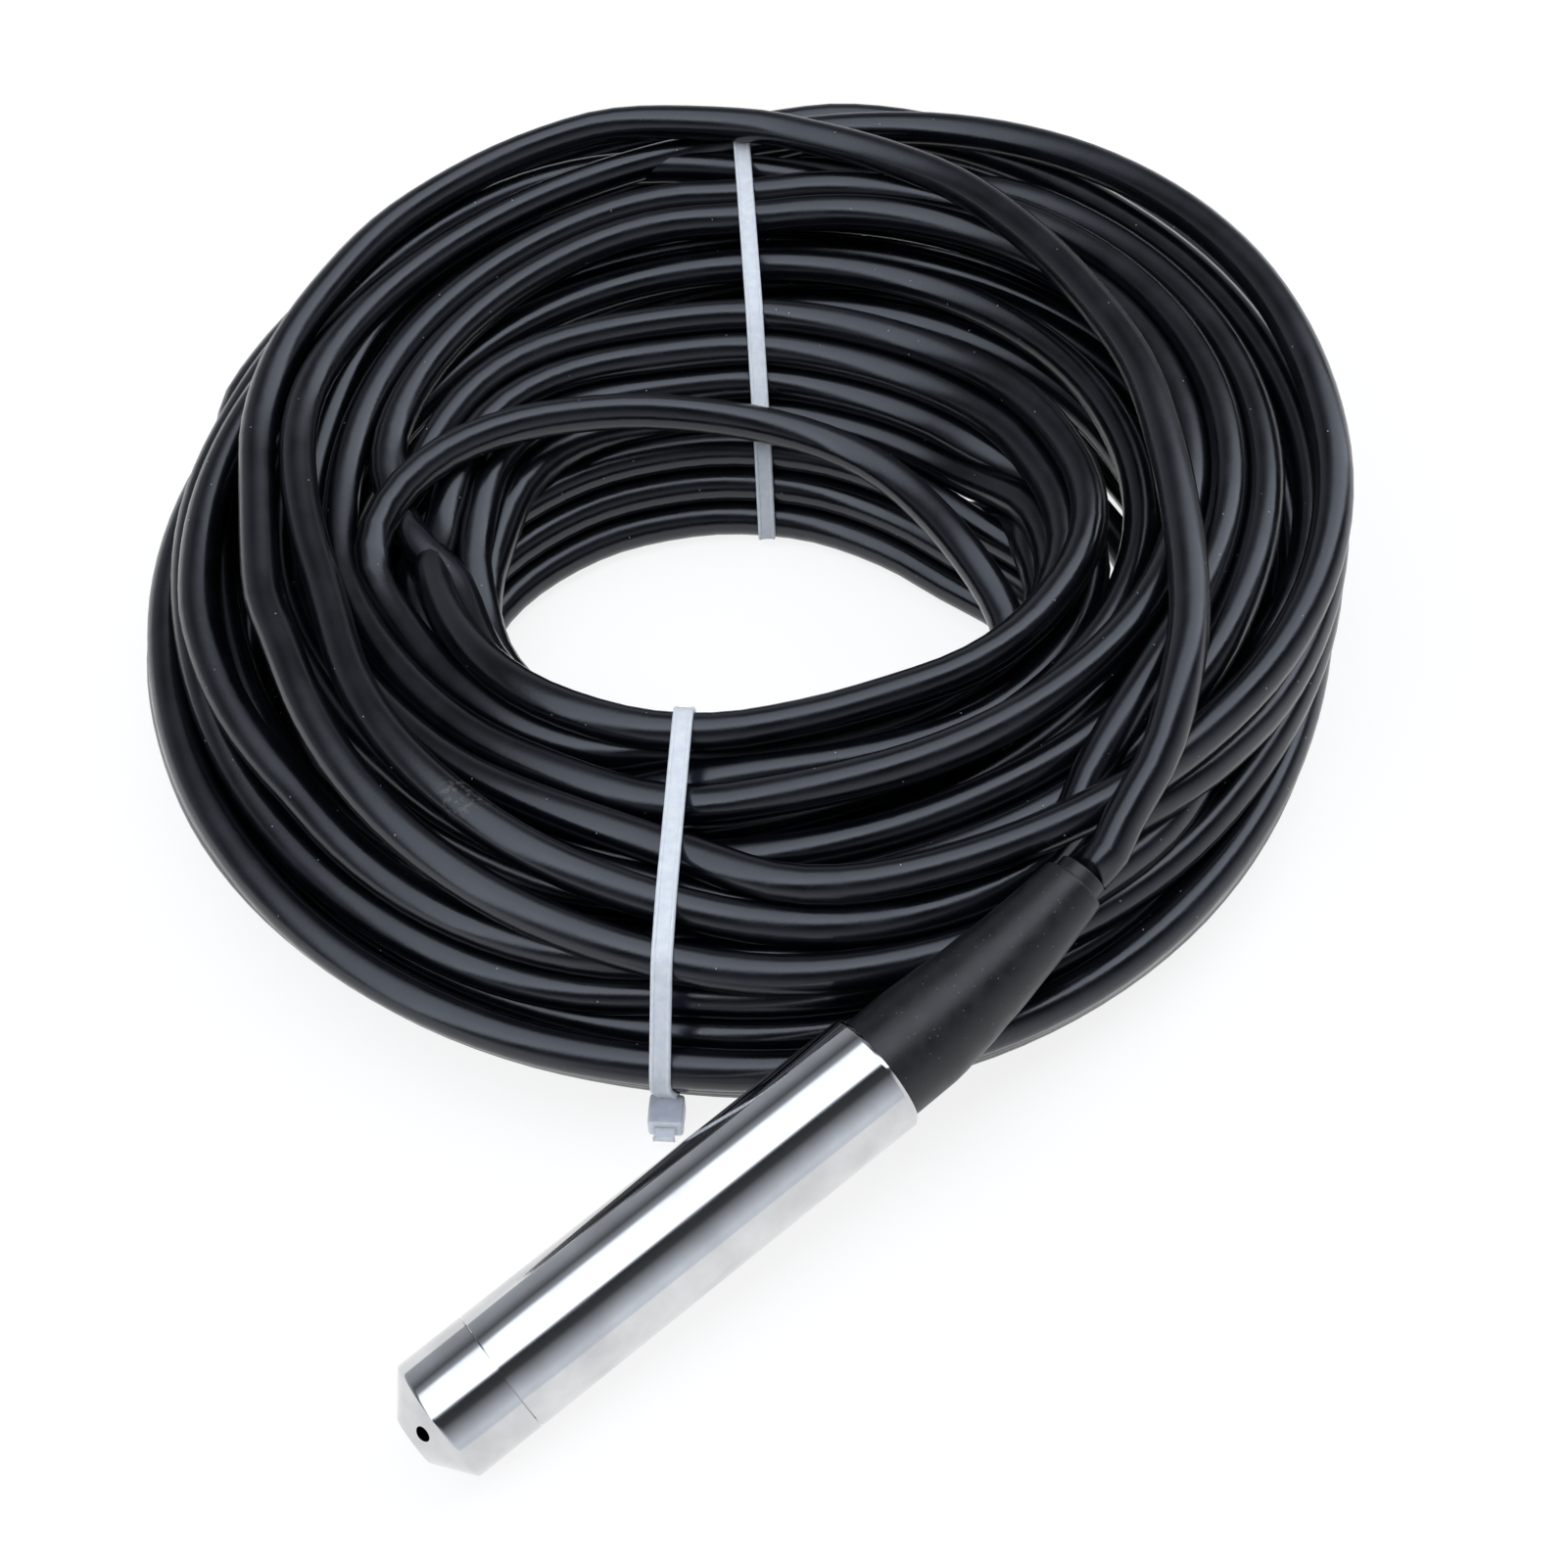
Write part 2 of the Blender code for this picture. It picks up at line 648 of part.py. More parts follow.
def make_tie(name, parent):
    turn, aside = TIES[name]
    left = strap_edge(turn, aside - TIE_WIDTH / 2)
    right = strap_edge(turn, aside + TIE_WIDTH / 2)
    bm = bmesh.new()
    corners = zip(left[0], left[1], right[1], right[0])
    rings = [[bm.verts.new(point) for point in ring] for ring in corners]
    for first, second in zip(rings, rings[1:] + rings[:1]):
        join_rings(bm, first, second)
    strap = add_object(name, finish(bm, name), "nylon", parent)
    middle = grown([tie_corner(turn, aside, step) for step in range(COIL_SECTION_POINTS)], TIE_CLEARANCE)
    head = tie_head(name, middle, parent)
    head.rotation_euler = (0, 0, turn)
    head.location = Vector((-math.sin(turn), math.cos(turn), 0)) * aside
    use_boolean(strap, head, "UNION")


# Farthest reach of a closed section below a height
def reach_below(points, height):
    found = [reach for reach, z in points if z <= height]
    for (near, low), (far, high) in zip(points, [*points[1:], points[0]]):
        if (low - height) * (high - height) < 0:
            found.append(blend(near, far, (height - low) / (high - low)))
    return max(found)


# The head stands on the ground, against the outside of the coil
def tie_head(name, inside, parent):
    length, width, height = TIE_HEAD
    foot = 0.5 * MM
    face = reach_below(inside, foot + height)
    mesh = block_mesh(name + "_head", TIE_HEAD, (face + length / 2, 0, foot + height / 2), bevel=0.5 * MM)
    return add_helper(name + "_head", mesh, parent)


def coil_point(x, y):
    angle = math.atan2(y, x)
    return Vector((x, y, coil_top(angle) + CABLE_RADIUS + LEAD_RIDE))


def make_lead(coil, exit_point, exit_direction):
    points = [exit_point + exit_direction * LEAD_STRAIGHT]
    points += [Vector(place) * MM for place in LEAD_AIR]
    points += [coil_point(x * MM, y * MM) for x, y in LEAD_ON_COIL]
    add_tube("cable_lead", [exit_point, *smooth_route(points, ROUTE_STEP)], CABLE_RADIUS, "cable", coil)


def make_tail(coil):
    points = []
    for degrees, away in TAIL_ROUTE:
        angle = math.radians(degrees)
        reach = reach_below(coil_section(angle), 2.5 * CABLE_RADIUS) + CABLE_RADIUS + away * MM
        points.append(Vector((reach * math.cos(angle), reach * math.sin(angle), CABLE_RADIUS + GAP)))
    add_tube("cable_tail", smooth_route(points, ROUTE_STEP / 2), CABLE_RADIUS, "cable", coil)
    forward = (points[-1] - points[-2]).normalized()
    side = Vector((0, 0, 1)).cross(forward) * 1.7 * MM
    start = points[-1] + forward * GAP
    for name, shift, radius, colour, share in (
        ("tail_core_red", 1, CORE_RADIUS, "red", 1.0),
        ("tail_core_black", -1, CORE_RADIUS, "black", 0.9),
        ("tail_vent_tube", 0, VENT_RADIUS, "clear", 0.6),
    ):
        end = start + forward * TAIL_CORE_LENGTH * share
        add_tube(name, [start + side * shift, end + side * 1.6 * shift], radius, colour, coil)


# Stands the probe with its lowest point on the ground and the middle of its box over the origin
def stand_probe(probe, coil_names):
    probe.rotation_euler = (0, -PROBE_TILT, 0)
    bpy.context.view_layer.update()
    graph = bpy.context.evaluated_depsgraph_get()
    corners = []
    for child in probe.children:
        if child.hide_render or child.name in coil_names:
            continue
        evaluated = child.evaluated_get(graph)
        mesh = evaluated.to_mesh()
        corners += [evaluated.matrix_world @ vertex.co for vertex in mesh.vertices]
        evaluated.to_mesh_clear()
    low = Vector([min(c[k] for c in corners) for k in range(3)])
    high = Vector([max(c[k] for c in corners) for k in range(3)])
    probe.location = (-(low.x + high.x) / 2, -(low.y + high.y) / 2, -low.z)
    bpy.context.view_layer.update()


def main():
    clear_scene()
    probe = add_empty("probe")
    coil = add_empty("coil")
    coil.location = (COIL_ALONG, coil_aside(), 0)
    coil.rotation_euler = (0, 0, COIL_TURN)
    make_nose_cap(probe)
    make_housing(probe)
    make_cell(probe)
    make_board(probe)
    make_gland(probe)
    make_boot(probe)
    make_inner_cable(probe)
    stand_probe(probe, ())
    make_coil(coil)
    for name in TIES:
        make_tie(name, coil)
    place, forward = boot_axis(HOUSING_END + BOOT_LIP_AT + BOOT_COLLAR)
    to_coil = coil.matrix_world.inverted() @ probe.matrix_world
    exit_direction = (to_coil.to_3x3() @ forward).normalized()
    make_lead(coil, to_coil @ place + exit_direction * GAP, exit_direction)
    make_tail(coil)


main()
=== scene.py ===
"""Looks of a submersible liquid level sensor: steel probe, rubber boot, tied coil of vented cable."""

import math

import bmesh
import bpy
import numpy as np
from mathutils import Matrix, Vector


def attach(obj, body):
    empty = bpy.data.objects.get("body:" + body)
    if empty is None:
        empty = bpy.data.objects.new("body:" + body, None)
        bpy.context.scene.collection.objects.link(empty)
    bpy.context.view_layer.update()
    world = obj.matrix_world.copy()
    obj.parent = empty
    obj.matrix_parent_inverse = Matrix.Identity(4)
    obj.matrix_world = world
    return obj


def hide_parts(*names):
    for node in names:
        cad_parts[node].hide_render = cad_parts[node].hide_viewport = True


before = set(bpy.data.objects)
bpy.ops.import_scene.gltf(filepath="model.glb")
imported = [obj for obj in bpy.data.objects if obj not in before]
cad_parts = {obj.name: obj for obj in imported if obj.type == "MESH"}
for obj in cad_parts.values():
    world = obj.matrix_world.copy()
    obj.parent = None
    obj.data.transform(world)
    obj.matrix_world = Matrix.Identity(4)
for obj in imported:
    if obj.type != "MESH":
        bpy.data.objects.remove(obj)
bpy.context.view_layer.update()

MM = 0.001

# Coil frame, as in the part: X and Y on the ground, the front tie towards -Y
COIL_PLACE = Matrix.Translation((65.7 * MM, 109.19 * MM, 0)) @ Matrix.Rotation(math.radians(-33.9), 4, "Z")

# Probe frame: X runs along the probe from the joint of its cone
PROBE_TILT = math.radians(11)
PROBE_PLACE = Matrix.Translation((-66.855 * MM, 0, 10.798 * MM)) @ Matrix.Rotation(-PROBE_TILT, 4, "Y")
PROBE_RADIUS = 11.0
CAP_LENGTH = 12.5
HOUSING_END = 91.6
CONE = 5.0
CONE_FACE = 4.35
BOOT_REACH = 49.5
BOOT_ASIDE = 3.4
BOOT_UP = 3.6

# Container of the turns: circles in plan (x, y, radius) in mm, at the top and at the base
HOLE_TOP = (18.0, 16.8, 56.0)
HOLE_BASE = (9.6, -14.7, 36.0)
HOLE_FLOOR = (
    (0, 58), (20, 50), (44, 45.5), (74, 41.5), (100, 40.2), (132, 42), (160, 45.5), (190, 45),
    (215, 43), (240, 42), (264, 44), (288, 46), (308, 49), (328, 52), (345, 56), (360, 58),
)
OUTSIDE_TOP = (12.5, 36.0, 122.0)
OUTSIDE_BASE = (6.0, 10.7, 122.8)
COIL_HEIGHT = 44.0
COIL_RISE_RIGHT = 9.4
SQUARENESS = 3.4
FLOOR_SQUARENESS = 6.0
TIES = ((math.radians(263.5), 0.5), (math.radians(90.4), -14.1))
TIE_PINCH = 1.8
TIE_PINCH_REACH = 34
TIE_PINCH_FADE = 29

# Cable, in mm
CABLE = 7.6
PITCH = 7.75
TURNS = 33
STATIONS = 72
START_DEGREES = 196
END_DEGREES = 412
OUTWARDS = 0.6
PUSH_SHARE = 0.45
ROUNDS = 900
# Picked out of sixteen seeds for the fewest gaps seen from the photo's side; other sides were not compared
COIL_SEED = 64
LEAD_AIR = ((71.5, -76.0, 45.3), (78.5, -66.5, 50.2))
LEAD_ON_COIL = (
    (83.5, -54.5), (87.7, -37.9), (89.6, -18.6), (90.0, 5.0), (88.0, 28.5), (81.3, 51.3), (72.0, 73.0),
    (59.5, 92.7), (44.7, 106.3), (29.0, 116.6), (14.0, 124.0), (-12.6, 129.6), (-30.5, 125.8),
    (-48.2, 116.4), (-65.2, 102.0), (-77.3, 84.3), (-86.5, 64.0), (-90.0, 43.7), (-89.0, 24.0),
    (-85.9, -3.3), (-81.6, -16.5),
)
SCUFF_ON_COIL = (-44.1, -60.6, 43.0)
TAIL_ROUTE = ((52, -2.6), (59, -2.4), (67, -0.2), (75, 5.0), (83, 10.0))


def circle_reach(circle, angle):
    x, y, radius = circle
    ahead = x * np.cos(angle) + y * np.sin(angle)
    return ahead + np.sqrt(ahead**2 - (x * x + y * y - radius * radius))


def coil_top(angle):
    return COIL_HEIGHT + COIL_RISE_RIGHT * np.cos(angle)


def tie_pinch(angle, reach):
    pinch = np.zeros_like(reach)
    for turn, aside in TIES:
        apart = np.abs(reach * np.sin(angle - turn) - aside)
        share = np.clip((TIE_PINCH_REACH - apart) / TIE_PINCH_FADE, 0, 1) ** 2
        pinch = np.where(np.cos(angle - turn) > 0, np.maximum(pinch, TIE_PINCH * share), pinch)
    return pinch


# Stretches of the turns that pass over the back tie, as point numbers
def skipped_riders():
    first = 4 * 360 + 430 - START_DEGREES
    return ((first * STATIONS // 360, (first + 70) * STATIONS // 360),)


# Middle and half width of the container at an angle and height
def container(angle, z):
    share = np.clip(z / coil_top(angle), 0, 1)
    floor = np.array(HOLE_FLOOR)
    base = np.interp(np.degrees(angle) % 360, floor[:, 0], floor[:, 1])
    inner = base * (1 - share) + circle_reach(HOLE_TOP, angle) * share
    outer = circle_reach(OUTSIDE_BASE, angle) * (1 - share) + circle_reach(OUTSIDE_TOP, angle) * share
    return (inner + outer) / 2, (outer - inner) / 2


# Moves points (reach, height) inside the container, which stands a distance inwards of the coil's skin
def contained(points, angle, inwards):
    reach, z = points[..., 0], points[..., 1]
    top = coil_top(angle)
    middle, half = container(angle, z)
    sunk = inwards + tie_pinch(angle, reach)
    x = (reach - middle) / (half - sunk)
    y = (z - top / 2) / (top / 2 - sunk)
    power = np.where(y < 0, FLOOR_SQUARENESS, SQUARENESS)
    size = (np.abs(x) ** power + np.abs(y) ** power) ** (1 / power)
    shrink = 1 / np.maximum(size, 1)
    return np.stack([middle + x * shrink * (half - sunk), top / 2 + y * shrink * (top / 2 - sunk)], -1)


# Routes that hold stretches of turns, each as (degrees, reach, height) along it. A turn is free at the
# first and the last point of its route. LEAD_SINKS, UNDER_LEAD, the start of HOLE_RIM and the stretch that
# joins the right strand to the scuffed one are chosen. The rest follows strands seen in the photo
LEAD_SINKS = (
    (150, 83, 38.9), (190, 82.6, 38.9), (196, 82.3, 38.9), (206, 82.4, 38.7), (216, 83.2, 38),
    (230, 85.2, 36.8), (249, 88.6, 34), (262, 91.5, 32), (277, 97, 31), (300, 102, 30), (335, 107, 27),
)
RIGHT_STRAND = (
    (270, 82, 38), (300, 91, 40), (325, 104, 43.5), (340.6, 114.5, 48.0), (353.2, 120.2, 53.2),
    (372.4, 124.8, 55.9), (390, 130.5, 55.4), (406.4, 133.2, 53.5), (420, 134, 49.5),
    (430, 133.5, 45.5), (440, 131, 41.8), (450, 127, 39.8), (465, 119.5, 38.6), (480, 111, 38.4),
    (498, 101.5, 38.8), (510, 94.5, 39.6), (520, 86, 39.4), (535, 76.5, 38.8), (547, 72.2, 38.6),
    (560, 72.3, 39.2), (578, 73.7, 40.0), (594, 76.0, 39.6), (609, 79.0, 37.6), (622, 81.6, 35.2),
    (637, 88.0, 33.8), (650, 93, 33), (675, 97, 33),
)
HOLE_STRAND = (
    (305, 67, 19), (330, 66, 20), (350, 61.5, 22.5), (360, 57.5, 24), (370, 53.5, 25.8),
    (386, 51.6, 25.2), (402, 51.2, 25.9), (417, 50.5, 26.4), (433, 49.8, 27.5), (450, 49.7, 29.5),
    (467, 50.8, 32.6), (481, 52.4, 35.3), (494, 56.5, 37.2), (512, 64, 37), (540, 68, 34),
)
HOLE_RIM = (
    (150, 60, 26), (178, 53, 31), (196, 49.5, 34.5), (214.6, 48.3, 37.6), (240, 47, 39.4),
    (264, 47.5, 40), (288.5, 48, 40), (308.5, 52.8, 41), (328.5, 63.5, 42), (352, 70, 40),
)
HOLE_FOOT = (
    (325, 78, 12), (355, 72, 4), (368, 66, 3.9), (380, 55.7, 3.9), (404, 49.7, 3.9), (434, 45.6, 3.9),
    (460, 44.2, 3.9), (492, 45.9, 3.9), (520, 49.4, 3.9), (545, 51, 3.9), (580, 55, 6),
)
OUTER_FOOT = (
    (110, 125, 7), (150, 121, 3.9), (172, 115.7, 3.9), (185, 109.6, 3.9), (199, 105.1, 3.9),
    (214, 100.6, 3.9), (226, 98, 3.9), (237, 96.8, 3.9), (250, 96.4, 3.9), (263, 97.1, 3.9),
    (294, 104.2, 3.9), (309, 107.8, 3.9), (328, 113.1, 3.9), (345, 118.2, 3.9), (365, 126, 3.9),
    (385, 131, 3.9), (406, 134.5, 3.9),
)
UNDER_LEAD = (
    (60, 116, 40), (84, 122, 38.5), (96, 126, 38.3), (104, 126, 38), (112.5, 123.5, 37.3),
    (122.6, 119, 35.6), (132.5, 114, 34), (143.5, 111, 32.6), (160, 106, 31.2), (180, 100, 30.6),
    (210, 96, 29),
)
# Lean of the walls as (degrees, outwards for each mm of rise)
HOLE_LEAN = ((0, 0.5), (360, 0.5))
OUTER_LEAN = (
    (0, -0.05), (46, 0), (110, 0), (150, -0.2), (172, -0.3), (197, 0), (212, 0.2), (225, 0.4),
    (250, 0.55), (294, 0.5), (309, 0.42), (320, 0.27), (335, 0.12), (360, -0.05),
)
# Turn number, its route, how far out and how many cables above it the turn lies, and the wall's lean.
# Turns 28, 17, 30, 32, 23 and 22 fill the walls beside and above the two feet
RIDERS = (
    (0, LEAD_SINKS, 0, 0, HOLE_LEAN),
    (1, RIGHT_STRAND, 0, 0, HOLE_LEAN),
    (4, HOLE_STRAND, 0, 0, HOLE_LEAN),
    (6, HOLE_RIM, 0, 0, HOLE_LEAN),
    (10, UNDER_LEAD, 0, 0, OUTER_LEAN),
    (29, HOLE_FOOT, 0, 0, HOLE_LEAN),
    (28, HOLE_FOOT, 0, 1, HOLE_LEAN),
    (17, HOLE_FOOT, 0, 2, HOLE_LEAN),
    (30, HOLE_FOOT, 14, 0, HOLE_LEAN),
    (32, OUTER_FOOT, -9.5, 0, OUTER_LEAN),
    (33, OUTER_FOOT, 0, 0, OUTER_LEAN),
    (23, OUTER_FOOT, 0, 1, OUTER_LEAN),
    (22, OUTER_FOOT, 0, 2, OUTER_LEAN),
)


# Starting lanes: places on the unit section in rows, taken to and fro with some disorder
def first_lanes(rng):
    rows = (5, 6, 6, 6, 6, 6)
    lanes = []
    for row, filled in enumerate(rows):
        columns = [(c + 0.5) / filled * 2 - 1 for c in range(filled)]
        level = 1 - 2 * (row + 0.5) / len(rows)
        lanes += [(x, level) for x in (columns if row % 2 else columns[::-1])]
    order = np.arange(len(lanes)) + rng.normal(0, 0.7, len(lanes))
    lanes = np.array(lanes)[np.argsort(order)]
    return np.concatenate([lanes[: TURNS + 1], [(0.9, -1.0)] * 2])


# Pull of the riders: 0 away from them, 1 along their middles, and where they pull to
def rider_pull(degrees):
    weight = np.zeros(len(degrees))
    held = np.zeros((len(degrees), 2))
    for number, route, out, layer, lean in RIDERS:
        route = np.array(route, float)
        lean = np.interp(route[:, 0] % 360, *np.transpose(lean))
        rise = layer * CABLE / np.sqrt(1 + lean**2)
        route[:, 1] += out + rise * lean
        route[:, 2] += rise
        local = degrees - number * 360
        inside = (local >= route[0, 0]) & (local <= route[-1, 0])
        weight[inside] = np.interp(local[inside], route[[0, 1, -2, -1], 0], [0, 1, 1, 0])
        smooth = np.arange(route[0, 0], route[-1, 0] + 1)
        for axis in (0, 1):
            values = np.interp(smooth, route[:, 0], route[:, 1 + axis])
            values = np.convolve(np.pad(values, 8, "edge"), np.ones(17) / 17, "valid")
            held[inside, axis] = np.interp(local[inside], smooth, values)
    return weight, held


def evened(values, passes):
    for _ in range(passes):
        values[1:-1] = values[1:-1] / 2 + (values[:-2] + values[2:]) / 4
    return values


def wound_turns():
    rng = np.random.default_rng(COIL_SEED)
    count = TURNS * STATIONS + round((END_DEGREES - START_DEGREES) / 360 * STATIONS)
    degrees = START_DEGREES + np.arange(count) * 360 / STATIONS
    angle = np.radians(degrees)
    index = np.arange(count)
    place = index / STATIONS
    lanes = first_lanes(rng)
    first = np.minimum(place.astype(int), len(lanes) - 2)
    part = (place - first)[:, None]
    part = np.clip(part, 0, 1) ** 2 * (3 - 2 * np.clip(part, 0, 1))
    unit = lanes[first] * (1 - part) + lanes[first + 1] * part
    wander = evened(rng.normal(0, 1, (count, 2)), 400)
    wander /= wander.std()
    top = coil_top(angle)
    height = top / 2 + unit[:, 1] * (top / 2 - CABLE / 2)
    middle, half = container(angle, height)
    points = np.stack([middle + unit[:, 0] * (half - CABLE / 2), height], -1) + wander * 1.5
    weight, held = rider_pull(degrees)
    # the lead rides on the coil until its end sinks in
    ride = np.clip(1 - index / 6, 0, 1)
    inwards = CABLE / 2 - CABLE * ride * ride * (3 - 2 * ride)
    depth = rng.uniform(0, 1.8, len(lanes) * 2)
    inwards += np.clip(index / 12, 0, 1) * np.interp(place * 2, np.arange(len(depth)), depth)
    start = (82.3, coil_top(angle[0]) + CABLE / 2 + 0.1)
    end = tail_points()[0]
    grid = np.full((STATIONS, TURNS + 1), -1)
    grid[index % STATIONS, index // STATIONS] = index
    missing = grid < 0
    rounds = ROUNDS
    for step in range(rounds):
        gathered = points[np.maximum(grid, 0)]
        gathered[missing] = 1e4 + np.arange(missing.sum())[:, None] * 50
        apart = gathered[:, :, None, :] - gathered[:, None, :, :]
        distance = np.sqrt((apart**2).sum(-1)) + 1e-6
        push = np.clip(PITCH - distance, 0, None)
        push[:, range(TURNS + 1), range(TURNS + 1)] = 0
        shift = (apart / distance[..., None] * push[..., None]).sum(2) * PUSH_SHARE
        moved = np.zeros_like(points)
        moved[grid[~missing]] = shift[~missing]
        points = points + np.clip(moved, -2.5, 2.5)
        middle, half = container(angle, points[:, 1])
        offset = np.stack([(points[:, 0] - middle) / half, (points[:, 1] - top / 2) / (top / 2)], -1)
        far_out = np.clip((np.linalg.norm(offset, axis=1) - 0.6) / 0.3, 0, 1)[:, None]
        outwards = offset * np.abs(offset) * OUTWARDS * far_out
        outwards[:, 0] *= 1 + 1.5 * (offset[:, 0] < 0) * np.clip(np.sin(angle), 0, 1)
        outwards[:, 1] = np.maximum(outwards[:, 1], 0)
        points = points + outwards + wander * 0.05 * (1 - step / rounds)
        reference = np.stack([middle, top / 2], -1)
        passes = 4 if step < rounds * 0.6 else 2 if step < rounds * 0.85 else 1
        points = reference + evened(points - reference, passes)
        points = contained(points, angle, inwards)
        points[:, 1] = np.maximum(points[:, 1], CABLE / 2 + 0.1)
        points = points * (1 - weight[:, None]) + held * weight[:, None]
        points[0] = start
        points[-1] = end
    return np.stack([points[:, 0] * np.cos(angle), points[:, 0] * np.sin(angle), points[:, 1]], -1)


# Outer reach of the coil's solid up to a height, as the part has it
def section_reach(angle, height):
    steps = (np.arange(20) + 0.5) / 20 * 2 * math.pi
    across = np.copysign(np.abs(np.cos(steps)) ** (2 / SQUARENESS), np.cos(steps))
    level = 0.5 + 0.5 * np.copysign(np.abs(np.sin(steps)) ** (2 / SQUARENESS), np.sin(steps))
    share = np.clip((level - 0.04) / 0.96, 0, None)
    z = coil_top(angle) * share
    inner = circle_reach(HOLE_BASE, angle) * (1 - share) + circle_reach(HOLE_TOP, angle) * share
    outer = circle_reach(OUTSIDE_BASE, angle) * (1 - share) + circle_reach(OUTSIDE_TOP, angle) * share
    reach = (inner + outer) / 2 + (outer - inner) / 2 * across
    found = [r for r, h in zip(reach, z) if h <= height]
    for a in range(20):
        b = (a + 1) % 20
        if (z[a] - height) * (z[b] - height) < 0:
            found.append(reach[a] + (reach[b] - reach[a]) * (height - z[a]) / (z[b] - z[a]))
    return max(found)


# Tail as (reach, height) and as points, in mm
def tail_points():
    found = []
    for degrees, away in TAIL_ROUTE:
        reach = section_reach(math.radians(degrees), 2.5 * CABLE / 2) + CABLE / 2 + away
        found.append((reach, CABLE / 2 + 0.3))
    return found


def smooth_route(points, step):
    points = [Vector(p) for p in points]
    knots = [2 * points[0] - points[1], *points, 2 * points[-1] - points[-2]]
    dense = []
    for a, b, c, d in zip(knots, knots[1:], knots[2:], knots[3:]):
        for part in range(16):
            t = part / 16
            bend = 2 * a - 5 * b + 4 * c - d
            twist = 3 * b - 3 * c + d - a
            dense.append(0.5 * (2 * b + (c - a) * t + bend * t**2 + twist * t**3))
    dense.append(points[-1])
    dense = np.array(dense)
    length = np.concatenate([[0], np.cumsum(np.linalg.norm(np.diff(dense, axis=0), axis=1))])
    count = max(2, round(length[-1] / step))
    at = np.linspace(0, length[-1], count + 1)
    return np.stack([np.interp(at, length, dense[:, k]) for k in range(3)], -1)


# Whole cable as evenly read points in the row frame, in metres
def cable_path():
    to_coil = COIL_PLACE.inverted()
    exit_point, exit_direction = boot_exit()
    start = to_coil @ exit_point / MM
    ahead = (to_coil.to_3x3() @ exit_direction).normalized()
    lead = [start, start + ahead * 5.0]
    lead += [Vector(p) for p in LEAD_AIR]
    for x, y in LEAD_ON_COIL:
        lead.append(Vector((x, y, coil_top(math.atan2(y, x)) + CABLE / 2 + 0.1)))
    wound = wound_turns()
    tail = []
    for (degrees, away), (reach, z) in zip(TAIL_ROUTE, tail_points()):
        tail.append((reach * math.cos(math.radians(degrees)), reach * math.sin(math.radians(degrees)), z))
    route = [*lead, *map(Vector, wound[1:-1]), *map(Vector, tail)]
    path = smooth_route(route, 5.6)
    placed = np.array([COIL_PLACE @ (Vector(p) * MM) for p in path])
    return placed, wound


def boot_exit():
    tip = [v.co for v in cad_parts["cable_inner"].data.vertices]
    far = max(p.x for p in tip)
    ring = [p for p in tip if p.x > far - 2.2 * MM]
    centre = sum(ring, Vector()) / len(ring)
    direction = Vector((math.cos(math.radians(19)), 0.12, math.sin(math.radians(19)))).normalized()
    return centre + direction * 0.3 * MM, direction


def tube_mesh(name, path, radius, sides=12):
    path = np.asarray(path)
    tangent = np.gradient(path, axis=0)
    tangent /= np.linalg.norm(tangent, axis=1)[:, None]
    up = np.array([0, 0, 1.0])
    side = np.cross(tangent, up)
    side /= np.linalg.norm(side, axis=1)[:, None]
    over = np.cross(side, tangent)
    angles = np.arange(sides) / sides * 2 * math.pi
    ring = path[:, None, :] + radius * (
        side[:, None, :] * np.cos(angles)[None, :, None] + over[:, None, :] * np.sin(angles)[None, :, None]
    )
    vertices = ring.reshape(-1, 3)
    n = len(path)
    i = np.arange(n - 1)[:, None] * sides
    j = np.arange(sides)[None, :]
    k = (j + 1) % sides
    faces = np.stack([i + j, i + k, i + sides + k, i + sides + j], -1).reshape(-1, 4)
    mesh = bpy.data.meshes.new(name)
    caps = [tuple(range(sides))[::-1], tuple(range((n - 1) * sides, n * sides))]
    mesh.from_pydata(vertices.tolist(), [], [tuple(f) for f in faces.tolist()] + caps)
    mesh.update()
    mesh.shade_smooth()
    return mesh


def hex_colour(code):
    parts = [int(code[i : i + 2], 16) / 255 for i in (1, 3, 5)]
    return (*[c / 12.92 if c <= 0.04045 else ((c + 0.055) / 1.055) ** 2.4 for c in parts], 1)


# Adds a node with its settings, its values and its links
def add_node(tree, kind, inputs=(), **settings):
    made = tree.nodes.new(kind)
    for name, value in settings.items():
        setattr(made, name, value)
    for key, value in dict(inputs).items():
        if isinstance(value, bpy.types.NodeSocket):
            tree.links.new(value, made.inputs[key])
        else:
            made.inputs[key].default_value = value
    return made


def new_material(name, **values):
    made = bpy.data.materials.new(name)
    made.use_nodes = True
    tree = made.node_tree
    shader = tree.nodes["Principled BSDF"]
    for key, value in values.items():
        shader.inputs[key.replace("_", " ").title().replace("Ior", "IOR")].default_value = value
    return made, tree, shader


# Place on the object in millimetres
def object_mm(tree, rotation=(0, 0, 0)):
    place = add_node(tree, "ShaderNodeTexCoord").outputs["Object"]
    return add_node(
        tree, "ShaderNodeMapping", {"Vector": place, "Scale": (1000, 1000, 1000), "Rotation": rotation}
    ).outputs["Vector"]


def stretched(tree, place, scale):
    return add_node(tree, "ShaderNodeMapping", {"Vector": place, "Scale": scale}).outputs["Vector"]


def ramp(tree, factor, stops):
    made = add_node(tree, "ShaderNodeValToRGB", {"Fac": factor})
    elements = made.color_ramp.elements
    while len(elements) < len(stops):
        elements.new(0.5)
    for element, (position, colour) in zip(elements, stops):
        element.position = position
        element.color = colour
    return made.outputs["Color"]


def grey(value):
    return (value, value, value, 1)


def noise(tree, place, scale, detail):
    made = add_node(tree, "ShaderNodeTexNoise", {"Vector": place, "Scale": scale, "Detail": detail})
    return made.outputs["Fac"]


